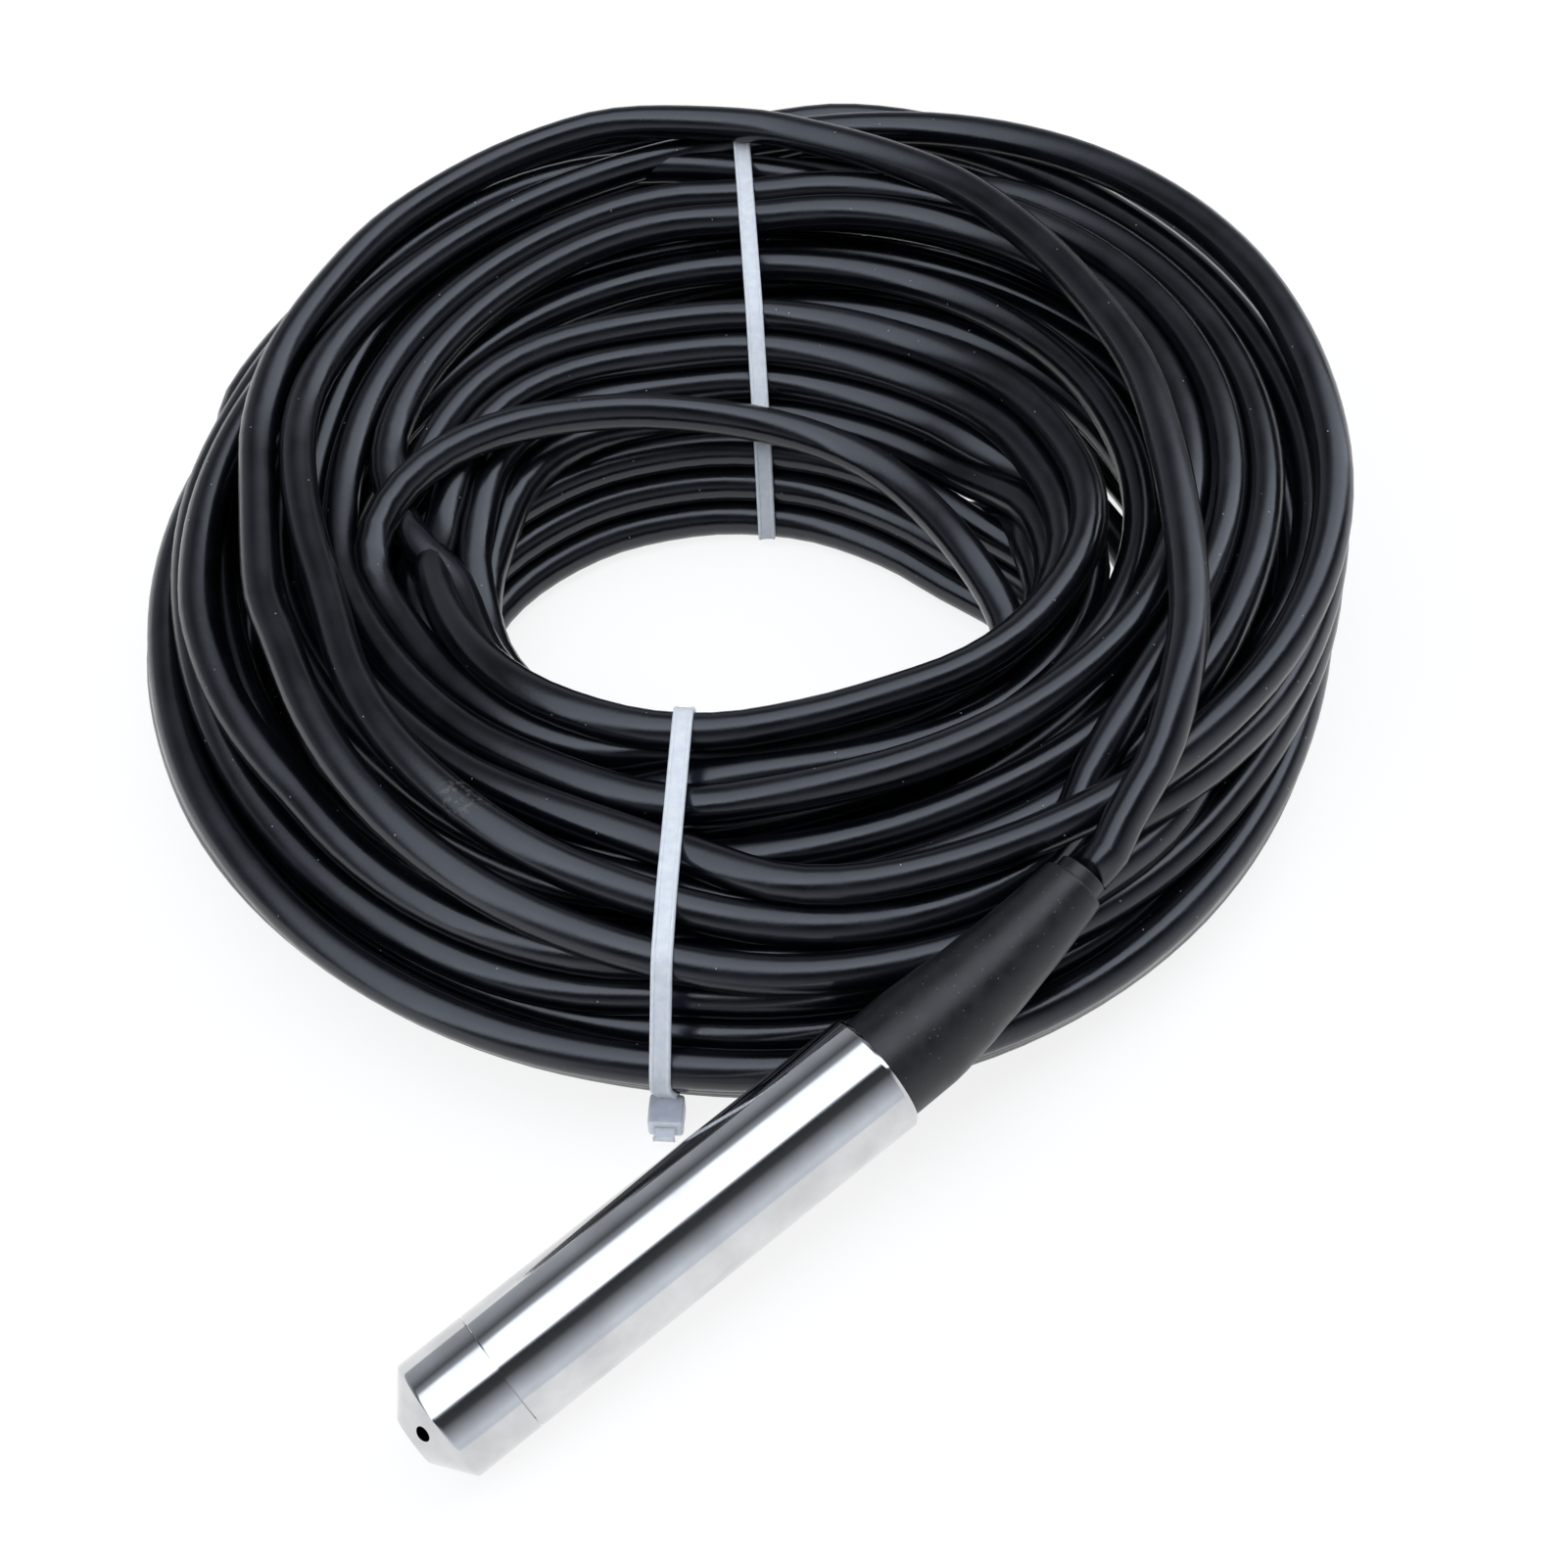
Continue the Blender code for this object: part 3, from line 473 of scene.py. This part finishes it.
def calculated(tree, operation, first, second):
    return add_node(tree, "ShaderNodeMath", {0: first, 1: second}, operation=operation).outputs["Value"]


def mixed_colour(tree, factor, first, second):
    made = add_node(tree, "ShaderNodeMix", {"Factor": factor, "A": first, "B": second}, data_type="RGBA")
    return next(o for o in made.outputs if o.type == "RGBA")


def add_bump(tree, shader, height, strength, distance):
    bump = add_node(tree, "ShaderNodeBump", {"Height": height, "Strength": strength, "Distance": distance})
    tree.links.new(bump.outputs["Normal"], shader.inputs["Normal"])


# Extruded polyurethane sheath: near black and satin, with hand marks, one scuffed place and specks of dust
def cable_sheath():
    made, tree, shader = new_material("extruded_polyurethane_black", roughness=0.2, ior=1.6)
    place = object_mm(tree)
    patches = noise(tree, place, 0.09, 5.0)
    fine = noise(tree, place, 1.6, 4.0)
    specks = add_node(tree, "ShaderNodeTexVoronoi", {"Vector": place, "Scale": 0.24}).outputs["Distance"]
    dust = ramp(tree, specks, ((0.0, grey(1)), (0.025, grey(1)), (0.04, grey(0))))
    scuff_at = (COIL_PLACE @ (Vector(SCUFF_ON_COIL) * MM)) / MM
    away = add_node(tree, "ShaderNodeVectorMath", {0: place, 1: scuff_at}, operation="DISTANCE")
    scuffed = away.outputs["Value"]
    scratches = noise(tree, place, 1.1, 6.0)
    in_centimetres = calculated(tree, "DIVIDE", scuffed, 10.0)
    near = ramp(tree, in_centimetres, ((0.3, grey(1)), (0.6, grey(0))))
    torn = ramp(tree, scratches, ((0.52, grey(0)), (0.6, grey(0.8))))
    scuff = calculated(tree, "MULTIPLY", near, torn)
    rubbed = ramp(tree, patches, ((0.35, hex_colour("#050609")), (0.7, hex_colour("#0b0c12"))))
    tone = mixed_colour(tree, dust, rubbed, hex_colour("#a6a9b2"))
    marked = mixed_colour(tree, scuff, tone, hex_colour("#4a4642"))
    tree.links.new(marked, shader.inputs["Base Color"])
    shader.inputs["Specular Tint"].default_value = (0.9, 0.93, 1.0, 1.0)
    gloss = ramp(tree, patches, ((0.3, grey(0.17)), (0.75, grey(0.3))))
    tree.links.new(gloss, shader.inputs["Roughness"])
    add_bump(tree, shader, fine, 0.35, 0.00004)
    return made


# Turned and polished 316L: mirror bright, with fine rings left by the polishing wheel and faint hand marks
def polished_steel(name, ring_strength, roughness):
    made, tree, shader = new_material(name, metallic=1.0, roughness=roughness)
    place = object_mm(tree, (0, PROBE_TILT, 0))
    rings = noise(tree, stretched(tree, place, (3.2, 0.03, 0.03)), 1.0, 6.0)
    smears = noise(tree, place, 0.12, 4.0)
    tone = ramp(tree, smears, ((0.3, hex_colour("#dcdcdc")), (0.75, hex_colour("#c7c6c7"))))
    tree.links.new(tone, shader.inputs["Base Color"])
    gloss = ramp(tree, smears, ((0.35, grey(roughness)), (0.8, grey(roughness + 0.06))))
    tree.links.new(gloss, shader.inputs["Roughness"])
    add_bump(tree, shader, rings, ring_strength, 0.00001)
    return made


# Moulded rubber: matte, slightly grey with bloom, with dust caught in its grain
def moulded_rubber(name, dark, pale, rough):
    made, tree, shader = new_material(name, roughness=rough, ior=1.52)
    place = object_mm(tree)
    cloud = noise(tree, place, 0.35, 6.0)
    grain = noise(tree, place, 4.0, 3.0)
    specks = add_node(tree, "ShaderNodeTexVoronoi", {"Vector": place, "Scale": 0.8}).outputs["Distance"]
    dust = ramp(tree, specks, ((0.0, grey(0.8)), (0.06, grey(0.8)), (0.1, grey(0))))
    bloom = ramp(tree, cloud, ((0.35, hex_colour(dark)), (0.7, hex_colour(pale))))
    tree.links.new(mixed_colour(tree, dust, bloom, hex_colour("#70727a")), shader.inputs["Base Color"])
    gloss = ramp(tree, cloud, ((0.3, grey(rough - 0.06)), (0.8, grey(rough + 0.08))))
    tree.links.new(gloss, shader.inputs["Roughness"])
    add_bump(tree, shader, grain, 0.5, 0.00006)
    return made


# Natural nylon 66: milky and slightly blue, lets light through, satin from the mould
def natural_nylon():
    made, tree, shader = new_material("moulded_nylon_natural", roughness=0.34, ior=1.53)
    shader.inputs["Subsurface Weight"].default_value = 0.6
    shader.inputs["Subsurface Radius"].default_value = (0.0018, 0.002, 0.0026)
    shader.inputs["Subsurface Scale"].default_value = 1.0
    place = object_mm(tree)
    cloud = noise(tree, place, 0.6, 3.0)
    tone = ramp(tree, cloud, ((0.3, hex_colour("#d9dee8")), (0.7, hex_colour("#e8ebf1"))))
    tree.links.new(tone, shader.inputs["Base Color"])
    grain = noise(tree, place, 2.5, 2.0)
    add_bump(tree, shader, grain, 0.25, 0.00005)
    return made


# Plain moulded, pressed or drawn part: two close tones in soft clouds and a fine grain of its own size in mm
def small_part(name, first, second, grain_mm, roughness, metallic=0.0):
    made, tree, shader = new_material(name, roughness=roughness, metallic=metallic)
    place = object_mm(tree)
    cloud = noise(tree, place, 0.5, 4.0)
    tone = ramp(tree, cloud, ((0.3, hex_colour(first)), (0.7, hex_colour(second))))
    tree.links.new(tone, shader.inputs["Base Color"])
    grain = noise(tree, place, 1 / grain_mm, 2.0)
    add_bump(tree, shader, grain, 0.3, 0.00002)
    return made


def add_piece(name, mesh, material, replaces=()):
    made = bpy.data.objects.new(name, mesh)
    bpy.context.scene.collection.objects.link(made)
    mesh.materials.append(material)
    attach(made, "root")
    if replaces:
        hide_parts(*replaces)
    return made


# Closed outline of (along, radius) in mm turned about an axis. A dent, where given, comes off the radius
def turned_piece(name, outline, axis, sides=160, dent=None):
    bm = bmesh.new()
    rings = []
    for along, radius in outline:
        centre, slope = axis(along)
        side = Vector((0, 1, 0)).cross(slope).normalized()
        over = slope.cross(side)
        if radius == 0:
            rings.append([bm.verts.new(centre)])
            continue
        ring = []
        for step in range(sides):
            turn = 2 * math.pi * step / sides
            reach = radius - (dent(along, turn) if dent else 0)
            ring.append(bm.verts.new(centre + (side * math.cos(turn) + over * math.sin(turn)) * reach))
        rings.append(ring)
    for first, second in zip(rings, rings[1:] + rings[:1]):
        if len(first) == 1 and len(second) == 1:
            continue
        for k in range(sides):
            m = (k + 1) % sides
            corners = [first[k % len(first)], first[m % len(first)]]
            corners += [second[m % len(second)], second[k % len(second)]]
            bm.faces.new(list(dict.fromkeys(corners)))
    bmesh.ops.recalc_face_normals(bm, faces=bm.faces)
    mesh = bpy.data.meshes.new(name)
    bm.to_mesh(mesh)
    bm.free()
    mesh.transform(PROBE_PLACE @ Matrix.Scale(MM, 4))
    mesh.shade_smooth()
    mesh.set_sharp_from_angle(angle=math.radians(28))
    return mesh


def straight_axis(along):
    return Vector((along, 0, 0)), Vector((1, 0, 0))


def boot_axis(along):
    share = max(0.0, along - HOUSING_END) / BOOT_REACH
    place = Vector((along, BOOT_ASIDE * share**2, BOOT_UP * share**2))
    slope = Vector((1, 2 * BOOT_ASIDE * share / BOOT_REACH, 2 * BOOT_UP * share / BOOT_REACH))
    return place, slope.normalized()


def rounded(corner_from, corner, corner_to, radius, steps=5):
    corner_from, corner, corner_to = Vector(corner_from), Vector(corner), Vector(corner_to)
    start = corner + (corner_from - corner).normalized() * radius
    end = corner + (corner_to - corner).normalized() * radius
    found = []
    for step in range(steps + 1):
        t = step / steps
        point = start * (1 - t) ** 2 + corner * 2 * t * (1 - t) + end * t * t
        found.append((point.x, point.y))
    return found


def make_nose_cap(steel):
    bore = PROBE_RADIUS - 1.5
    outline = [(-CONE, 0)]
    outline += rounded((-CONE, 0), (-CONE, CONE_FACE), (0, PROBE_RADIUS), 0.35)
    outline += rounded((-CONE, CONE_FACE), (0, PROBE_RADIUS), (5, PROBE_RADIUS), 0.5)
    outline += rounded((5, PROBE_RADIUS), (CAP_LENGTH, PROBE_RADIUS), (CAP_LENGTH, 9), 0.12, 3)
    outline += [(CAP_LENGTH, bore - 0.3), (CAP_LENGTH + 7, bore - 0.3), (CAP_LENGTH + 7, bore - 1.9)]
    outline += [(3, bore - 1.9), (-2.8, CONE_FACE), (-2.8, 0)]
    mesh = turned_piece("nose_cap_turned", outline, straight_axis)
    cap = add_piece("nose_cap_turned", mesh, steel, ("nose_cap",))
    drill = inlet_drill()
    cut = cap.modifiers.new("inlet", "BOOLEAN")
    cut.object = drill
    cut.operation = "DIFFERENCE"
    cut.solver = "EXACT"
    with_cut = bpy.data.meshes.new_from_object(cap.evaluated_get(bpy.context.evaluated_depsgraph_get()))
    cap.modifiers.clear()
    cap.data = with_cut
    with_cut.set_sharp_from_angle(angle=math.radians(28))
    bpy.data.objects.remove(drill)


# Drill for the inlet, square to the cone and half way along it
def inlet_drill():
    flank = Vector((CONE, PROBE_RADIUS - CONE_FACE))
    out = Vector((-flank.y, flank.x)).normalized()
    middle = Vector((-CONE * 0.53, (PROBE_RADIUS + CONE_FACE) * 0.48))
    bm = bmesh.new()
    bmesh.ops.create_cone(bm, cap_ends=True, segments=48, radius1=1.4, radius2=1.4, depth=7.2)
    turn = Matrix.Rotation(math.radians(25), 4, "X")
    centre = middle - out * 0.6
    stand = Vector((out.x, 0, out.y)).to_track_quat("Z", "Y").to_matrix().to_4x4()
    bm.transform(turn @ Matrix.Translation((centre.x, 0, centre.y)) @ stand)
    bm.transform(PROBE_PLACE @ Matrix.Scale(MM, 4))
    mesh = bpy.data.meshes.new("inlet_drill")
    bm.to_mesh(mesh)
    bm.free()
    made = bpy.data.objects.new("inlet_drill", mesh)
    bpy.context.scene.collection.objects.link(made)
    return made


def make_housing(steel):
    bore, rear = PROBE_RADIUS - 1.5, 10.1
    start, end = CAP_LENGTH + 0.16, HOUSING_END
    outline = [(start, bore)]
    outline += rounded((start, 9), (start, PROBE_RADIUS), (40, PROBE_RADIUS), 0.1, 3)
    outline += [(start + k * (end - start - 2) / 8, PROBE_RADIUS) for k in range(1, 8)]
    outline += rounded((40, PROBE_RADIUS), (end - 0.7, PROBE_RADIUS), (end, PROBE_RADIUS - 0.55), 0.15, 3)
    outline += [(end, PROBE_RADIUS - 0.6), (end, rear + 0.1), (end - 0.1, rear)]
    outline += [(end - 5, rear), (end - 5, bore)]
    add_piece(
        "housing_turned", turned_piece("housing_turned", outline, straight_axis), steel,
        ("housing_tube",),
    )


# Soft dent where the boot was squeezed, on the side that faces the camera
def boot_dent(along, turn):
    across = (turn - math.radians(62) + math.pi) % (2 * math.pi) - math.pi
    away = ((along - HOUSING_END - 17) / 6) ** 2 + (across / 0.42) ** 2
    mark = 0.45 * math.exp(-away)
    fade = math.exp(-(((along - HOUSING_END - 20) / 14) ** 2))
    return mark + 0.05 * math.sin(along * 0.7 + 2 * turn) * fade


def make_boot(rubber):
    lip = HOUSING_END + 47.0
    straight = HOUSING_END + 10.5
    outline = [(HOUSING_END - 4.4, 7.8), (HOUSING_END - 4.4, 9.7)]
    outline += [(HOUSING_END - 4.4 + 0.75 * k, 9.7) for k in range(1, 19)]
    slope = (9.7 - 5.9) / (lip - straight)
    outline += [(straight + k, 9.7 - slope * k) for k in range(1, 35)]
    outline += rounded((lip - 5, 5.9 + slope * 5), (lip, 5.9), (lip, 4), 0.8)
    outline += rounded((lip, 5.5), (lip, 4.7), (lip + 3, 4.7), 0.3, 3)
    outline += rounded((lip, 4.7), (lip + 2.5, 4.6), (lip + 2.5, 3), 0.4)
    outline += [(lip + 2.5, 4.1)] + [(lip - (lip - HOUSING_END) * t / 12, 4.1) for t in range(13)]
    outline += [(HOUSING_END, 7.8)]
    mesh = turned_piece("boot_moulded", outline, boot_axis, 96, boot_dent)
    add_piece("boot_moulded", mesh, rubber, ("strain_relief_boot",))


# Hull of the turns where an upright plane crosses them, as (reach, height) in mm
def tie_hull(turn, aside, path, skip):
    outward = np.array([math.cos(turn), math.sin(turn)])
    sideways = np.array([-math.sin(turn), math.cos(turn)])
    beyond = path[:, :2] @ sideways - aside
    reach = path[:, :2] @ outward
    found = []
    for k in np.nonzero((beyond[:-1] * beyond[1:] <= 0) & (reach[:-1] > 10))[0]:
        if any(first <= k <= last for first, last in skip):
            continue
        share = beyond[k] / (beyond[k] - beyond[k + 1])
        ahead = path[k + 1] - path[k]
        slant = abs(ahead[:2] @ sideways) / np.linalg.norm(ahead)
        middle = path[k] + ahead * share
        for step in range(24):
            a = 2 * math.pi * step / 24
            wide = (CABLE / 2 + 0.12) / max(slant, 0.7)
            rise = (CABLE / 2 + 0.12) * math.sin(a)
            found.append((middle[:2] @ outward + wide * math.cos(a), middle[2] + rise))
    found = sorted(set(found))
    hull = []
    for points in (found, found[::-1]):
        chain = []
        for point in points:
            while len(chain) > 1 and turns_right(chain[-2], chain[-1], point):
                chain.pop()
            chain.append(point)
        hull += chain[:-1]
    return np.array(hull)


def turns_right(a, b, c):
    return (b[0] - a[0]) * (c[1] - a[1]) - (b[1] - a[1]) * (c[0] - a[0]) <= 0


# Strap section as (sideways, outwards) in mm: chamfered edges, raised rims, a shallow channel between them
STRAP = (
    (-1.85, 0.25), (-1.6, 0.0), (1.6, 0.0), (1.85, 0.25), (1.85, 0.9), (1.6, 1.12),
    (1.25, 1.12), (1.05, 0.95), (-1.05, 0.95), (-1.25, 1.12), (-1.6, 1.12), (-1.85, 0.9),
)


def make_tie(name, turn, aside, path, skip, nylon):
    hull = tie_hull(turn, aside, path, skip)
    hull[:, 1] = np.maximum(hull[:, 1], 0.35)
    loop = np.vstack([hull, hull[:1]])
    length = np.concatenate([[0], np.cumsum(np.linalg.norm(np.diff(loop, axis=0), axis=1))])
    count = int(length[-1] / 0.9)
    at = np.arange(count) / count * length[-1]
    loop = np.stack([np.interp(at, length, loop[:, k]) for k in (0, 1)], -1)
    for _ in range(3):
        loop = loop / 2 + (np.roll(loop, 1, 0) + np.roll(loop, -1, 0)) / 4
    ahead = np.roll(loop, -1, 0) - np.roll(loop, 1, 0)
    ahead /= np.linalg.norm(ahead, axis=1)[:, None]
    out = np.stack([ahead[:, 1], -ahead[:, 0]], -1)
    outward = Vector((math.cos(turn), math.sin(turn), 0))
    sideways = Vector((-math.sin(turn), math.cos(turn), 0))
    bm = bmesh.new()
    rings = []
    for (reach, z), (along, rise) in zip(loop, out):
        ring = []
        for side, lift in STRAP:
            lift = lift if z > 1.6 else lift * 0.3
            level = Vector((0, 0, z + rise * lift))
            spot = outward * (reach + along * lift) + sideways * (aside + side) + level
            ring.append(bm.verts.new(spot))
        rings.append(ring)
    for first, second in zip(rings, rings[1:] + rings[:1]):
        for k in range(len(STRAP)):
            m = (k + 1) % len(STRAP)
            bm.faces.new((first[k], second[k], second[m], first[m]))
    face = max(reach for reach, z in loop if z < 5.5)
    add_head(bm, outward, sideways, aside, face + 0.4)
    bmesh.ops.recalc_face_normals(bm, faces=bm.faces)
    mesh = bpy.data.meshes.new(name + "_moulded")
    bm.to_mesh(mesh)
    bm.free()
    mesh.transform(COIL_PLACE @ Matrix.Scale(MM, 4))
    mesh.shade_smooth()
    mesh.set_sharp_from_angle(angle=math.radians(40))
    return add_piece(name + "_moulded", mesh, nylon, (name,))


# Ratchet head of a tie: a rounded block with its pawl window, and the stub of the trimmed tail
def add_head(bm, outward, sideways, aside, face):
    for size, along, up, bevel in (((6.2, 6.4, 4.8), 3.0, 2.9, 0.9), ((2.6, 3.6, 1.1), 6.9, 3.1, 0.2)):
        made = bmesh.ops.create_cube(bm, size=1)["verts"]
        for vertex in made:
            spot = Vector([vertex.co[k] * size[k] for k in range(3)])
            level = Vector((0, 0, up + spot.z))
            vertex.co = outward * (face + along + spot.x) + sideways * (aside + spot.y) + level
        edges = list({edge for vertex in made for edge in vertex.link_edges})
        top = max({f for v in made for f in v.link_faces}, key=lambda f: f.calc_center_median().z)
        if bevel > 0.5:
            bmesh.ops.inset_region(bm, faces=[top], thickness=1.5)
            bmesh.ops.translate(bm, verts=top.verts, vec=(0, 0, -0.7))
        bmesh.ops.bevel(bm, geom=edges, offset=bevel, segments=3, affect="EDGES", profile=0.6)


# Photo's width and the solved focal length, in pixels
PHOTO_PIXELS = 1601
FOCAL_PIXELS = 2400
SENSOR = 36


def make_camera():
    data = bpy.data.cameras.new("camera")
    data.sensor_width = SENSOR
    data.lens = FOCAL_PIXELS / PHOTO_PIXELS * SENSOR
    data.clip_start = 0.01
    data.clip_end = 20
    made = bpy.data.objects.new("camera", data)
    bpy.context.scene.collection.objects.link(made)
    right = Vector((0.998336, -0.054871, -0.017751))
    up = Vector((0.053808, 0.775484, 0.629070))
    forward = Vector((0.020752, 0.628978, -0.777146))
    place = Matrix((right, up, -forward)).transposed().to_4x4()
    place.translation = Vector((3.9706, -325.8052, 367.7678)) * MM
    made.matrix_world = COIL_PLACE @ place
    bpy.context.scene.camera = made


# Directions of the studio, turned about the probe's axis in degrees from overhead: how bright each is
STUDIO = (
    (-180, 0.5), (-95, 0.5), (-66, 0.34), (-48, 0.1), (-35, 0.4), (-30, 1.6), (-8, 2.1), (6, 2.7),
    (14, 2.9), (18, 0.6), (21, 0.03), (38, 0.06), (54, 0.36), (78, 0.85), (95, 0.85), (180, 0.5),
)


def make_studio():
    world = bpy.data.worlds.new("studio")
    bpy.context.scene.world = world
    world.use_nodes = True
    tree = world.node_tree
    background = tree.nodes["Background"]
    direction = add_node(tree, "ShaderNodeTexCoord").outputs["Generated"]
    parts = add_node(tree, "ShaderNodeSeparateXYZ", {"Vector": direction})
    towards = calculated(tree, "MULTIPLY", parts.outputs["Y"], -1.0)
    turn = calculated(tree, "ARCTAN2", towards, parts.outputs["Z"])
    share = add_node(
        tree, "ShaderNodeMapRange", {"Value": turn, "From Min": -math.pi, "From Max": math.pi}
    ).outputs["Result"]
    stops = []
    for degrees, level in STUDIO:
        stops.append(((degrees + 180) / 360, (level * 0.36, level * 0.385, level * 0.425, 1)))
    light = add_node(
        tree, "ShaderNodeVectorMath", {0: ramp(tree, share, stops), "Scale": 2.5}, operation="SCALE"
    ).outputs[0]
    seen = add_node(tree, "ShaderNodeLightPath").outputs["Is Camera Ray"]
    tree.links.new(mixed_colour(tree, seen, light, grey(1)), background.inputs["Color"])
    background.inputs["Strength"].default_value = 1.0


# White paper floor that keeps a faint shadow
def make_floor():
    mesh = bpy.data.meshes.new("floor")
    mesh.from_pydata([(-4, -4, 0), (4, -4, 0), (4, 4, 0), (-4, 4, 0)], [], [(0, 1, 2, 3)])
    floor = bpy.data.objects.new("floor", mesh)
    bpy.context.scene.collection.objects.link(floor)
    made, tree, shader = new_material("white_paper_floor", roughness=0.8)
    shader.inputs["Base Color"].default_value = grey(0.86)
    shader.inputs["Specular IOR Level"].default_value = 0.1
    paths = add_node(tree, "ShaderNodeLightPath").outputs
    seen = calculated(tree, "MAXIMUM", paths["Is Camera Ray"], paths["Is Glossy Ray"])
    seen = calculated(tree, "MAXIMUM", seen, paths["Is Transmission Ray"])
    share = calculated(tree, "MULTIPLY", seen, 0.78)
    white = add_node(tree, "ShaderNodeEmission", {"Color": grey(1), "Strength": 1.08}).outputs[0]
    mixed = add_node(tree, "ShaderNodeMixShader", {0: share, 1: shader.outputs[0], 2: white})
    tree.links.new(mixed.outputs[0], tree.nodes["Material Output"].inputs["Surface"])
    mesh.materials.append(made)


def dress(name, material):
    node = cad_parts[name]
    for slot in node.material_slots:
        slot.material = material


def dress_inner_parts(sheath):
    board = small_part("epoxy_glass_board", "#0f5a34", "#16683f", 0.25, 0.35)
    chip = small_part("epoxy_chip_black", "#17171a", "#202024", 0.08, 0.55)
    green = small_part("moulded_polyester_green", "#2f8f4e", "#3a9c5a", 0.12, 0.45)
    amber = small_part("polyimide_film_amber", "#b8741a", "#c98424", 0.3, 0.3)
    brass = small_part("turned_brass", "#b89a4c", "#c8aa5c", 0.1, 0.3, 1.0)
    blue = small_part("moulded_trimmer_blue", "#1d4fa8", "#2459b5", 0.15, 0.4)
    red = small_part("extruded_core_red", "#b01c1c", "#c02424", 0.2, 0.38)
    black = small_part("extruded_core_black", "#141416", "#1c1c20", 0.2, 0.38)
    clear = small_part("drawn_vent_tube_clear", "#c8ccd0", "#d6dade", 0.3, 0.25)
    seal = moulded_rubber("moulded_seal_rubber", "#101012", "#1a1a1d", 0.6)
    plain = small_part("turned_steel_plain", "#a9acb2", "#b6b9be", 0.12, 0.32, 1.0)
    finishes = {
        "circuit_board": board, "amplifier_chip": chip, "converter_chip": chip, "filter_capacitor": amber,
        "terminal_block": green, "cell_ribbon": amber, "span_trimmer": blue, "zero_trimmer": blue,
        "inner_core_red": red, "tail_core_red": red, "inner_core_black": black, "tail_core_black": black,
        "vent_tube": clear, "tail_vent_tube": clear,
        "cell_o_ring": seal, "plug_o_ring": seal, "cable_seal": seal,
        "carrier_front": chip, "carrier_rear": chip, "sensor_cell": plain, "cell_diaphragm": plain,
        "cell_retaining_ring": plain, "rear_plug": plain, "seal_washer": plain, "clamp_nut": brass,
        "cable_inner": sheath,
    }
    for name, material in finishes.items():
        dress(name, material)


make_camera()
sheath = cable_sheath()
path, wound = cable_path()
cable = add_piece(
    "cable", tube_mesh("cable", path, CABLE / 2 * MM, 16), sheath,
    ("cable_lead", "cable_coil", "cable_tail"),
)
nylon = natural_nylon()
for name, (turn, aside), skip in zip(("tie_front", "tie_back"), TIES, ((), skipped_riders())):
    make_tie(name, turn, aside, wound, skip, nylon)
rubber = moulded_rubber("moulded_rubber_black", "#09090c", "#131418", 0.42)
steel = polished_steel("polished_stainless", 0.35, 0.07)
make_nose_cap(steel)
make_housing(steel)
make_boot(rubber)
dress_inner_parts(sheath)
make_studio()
make_floor()
bpy.context.scene.view_settings.view_transform = "Standard"
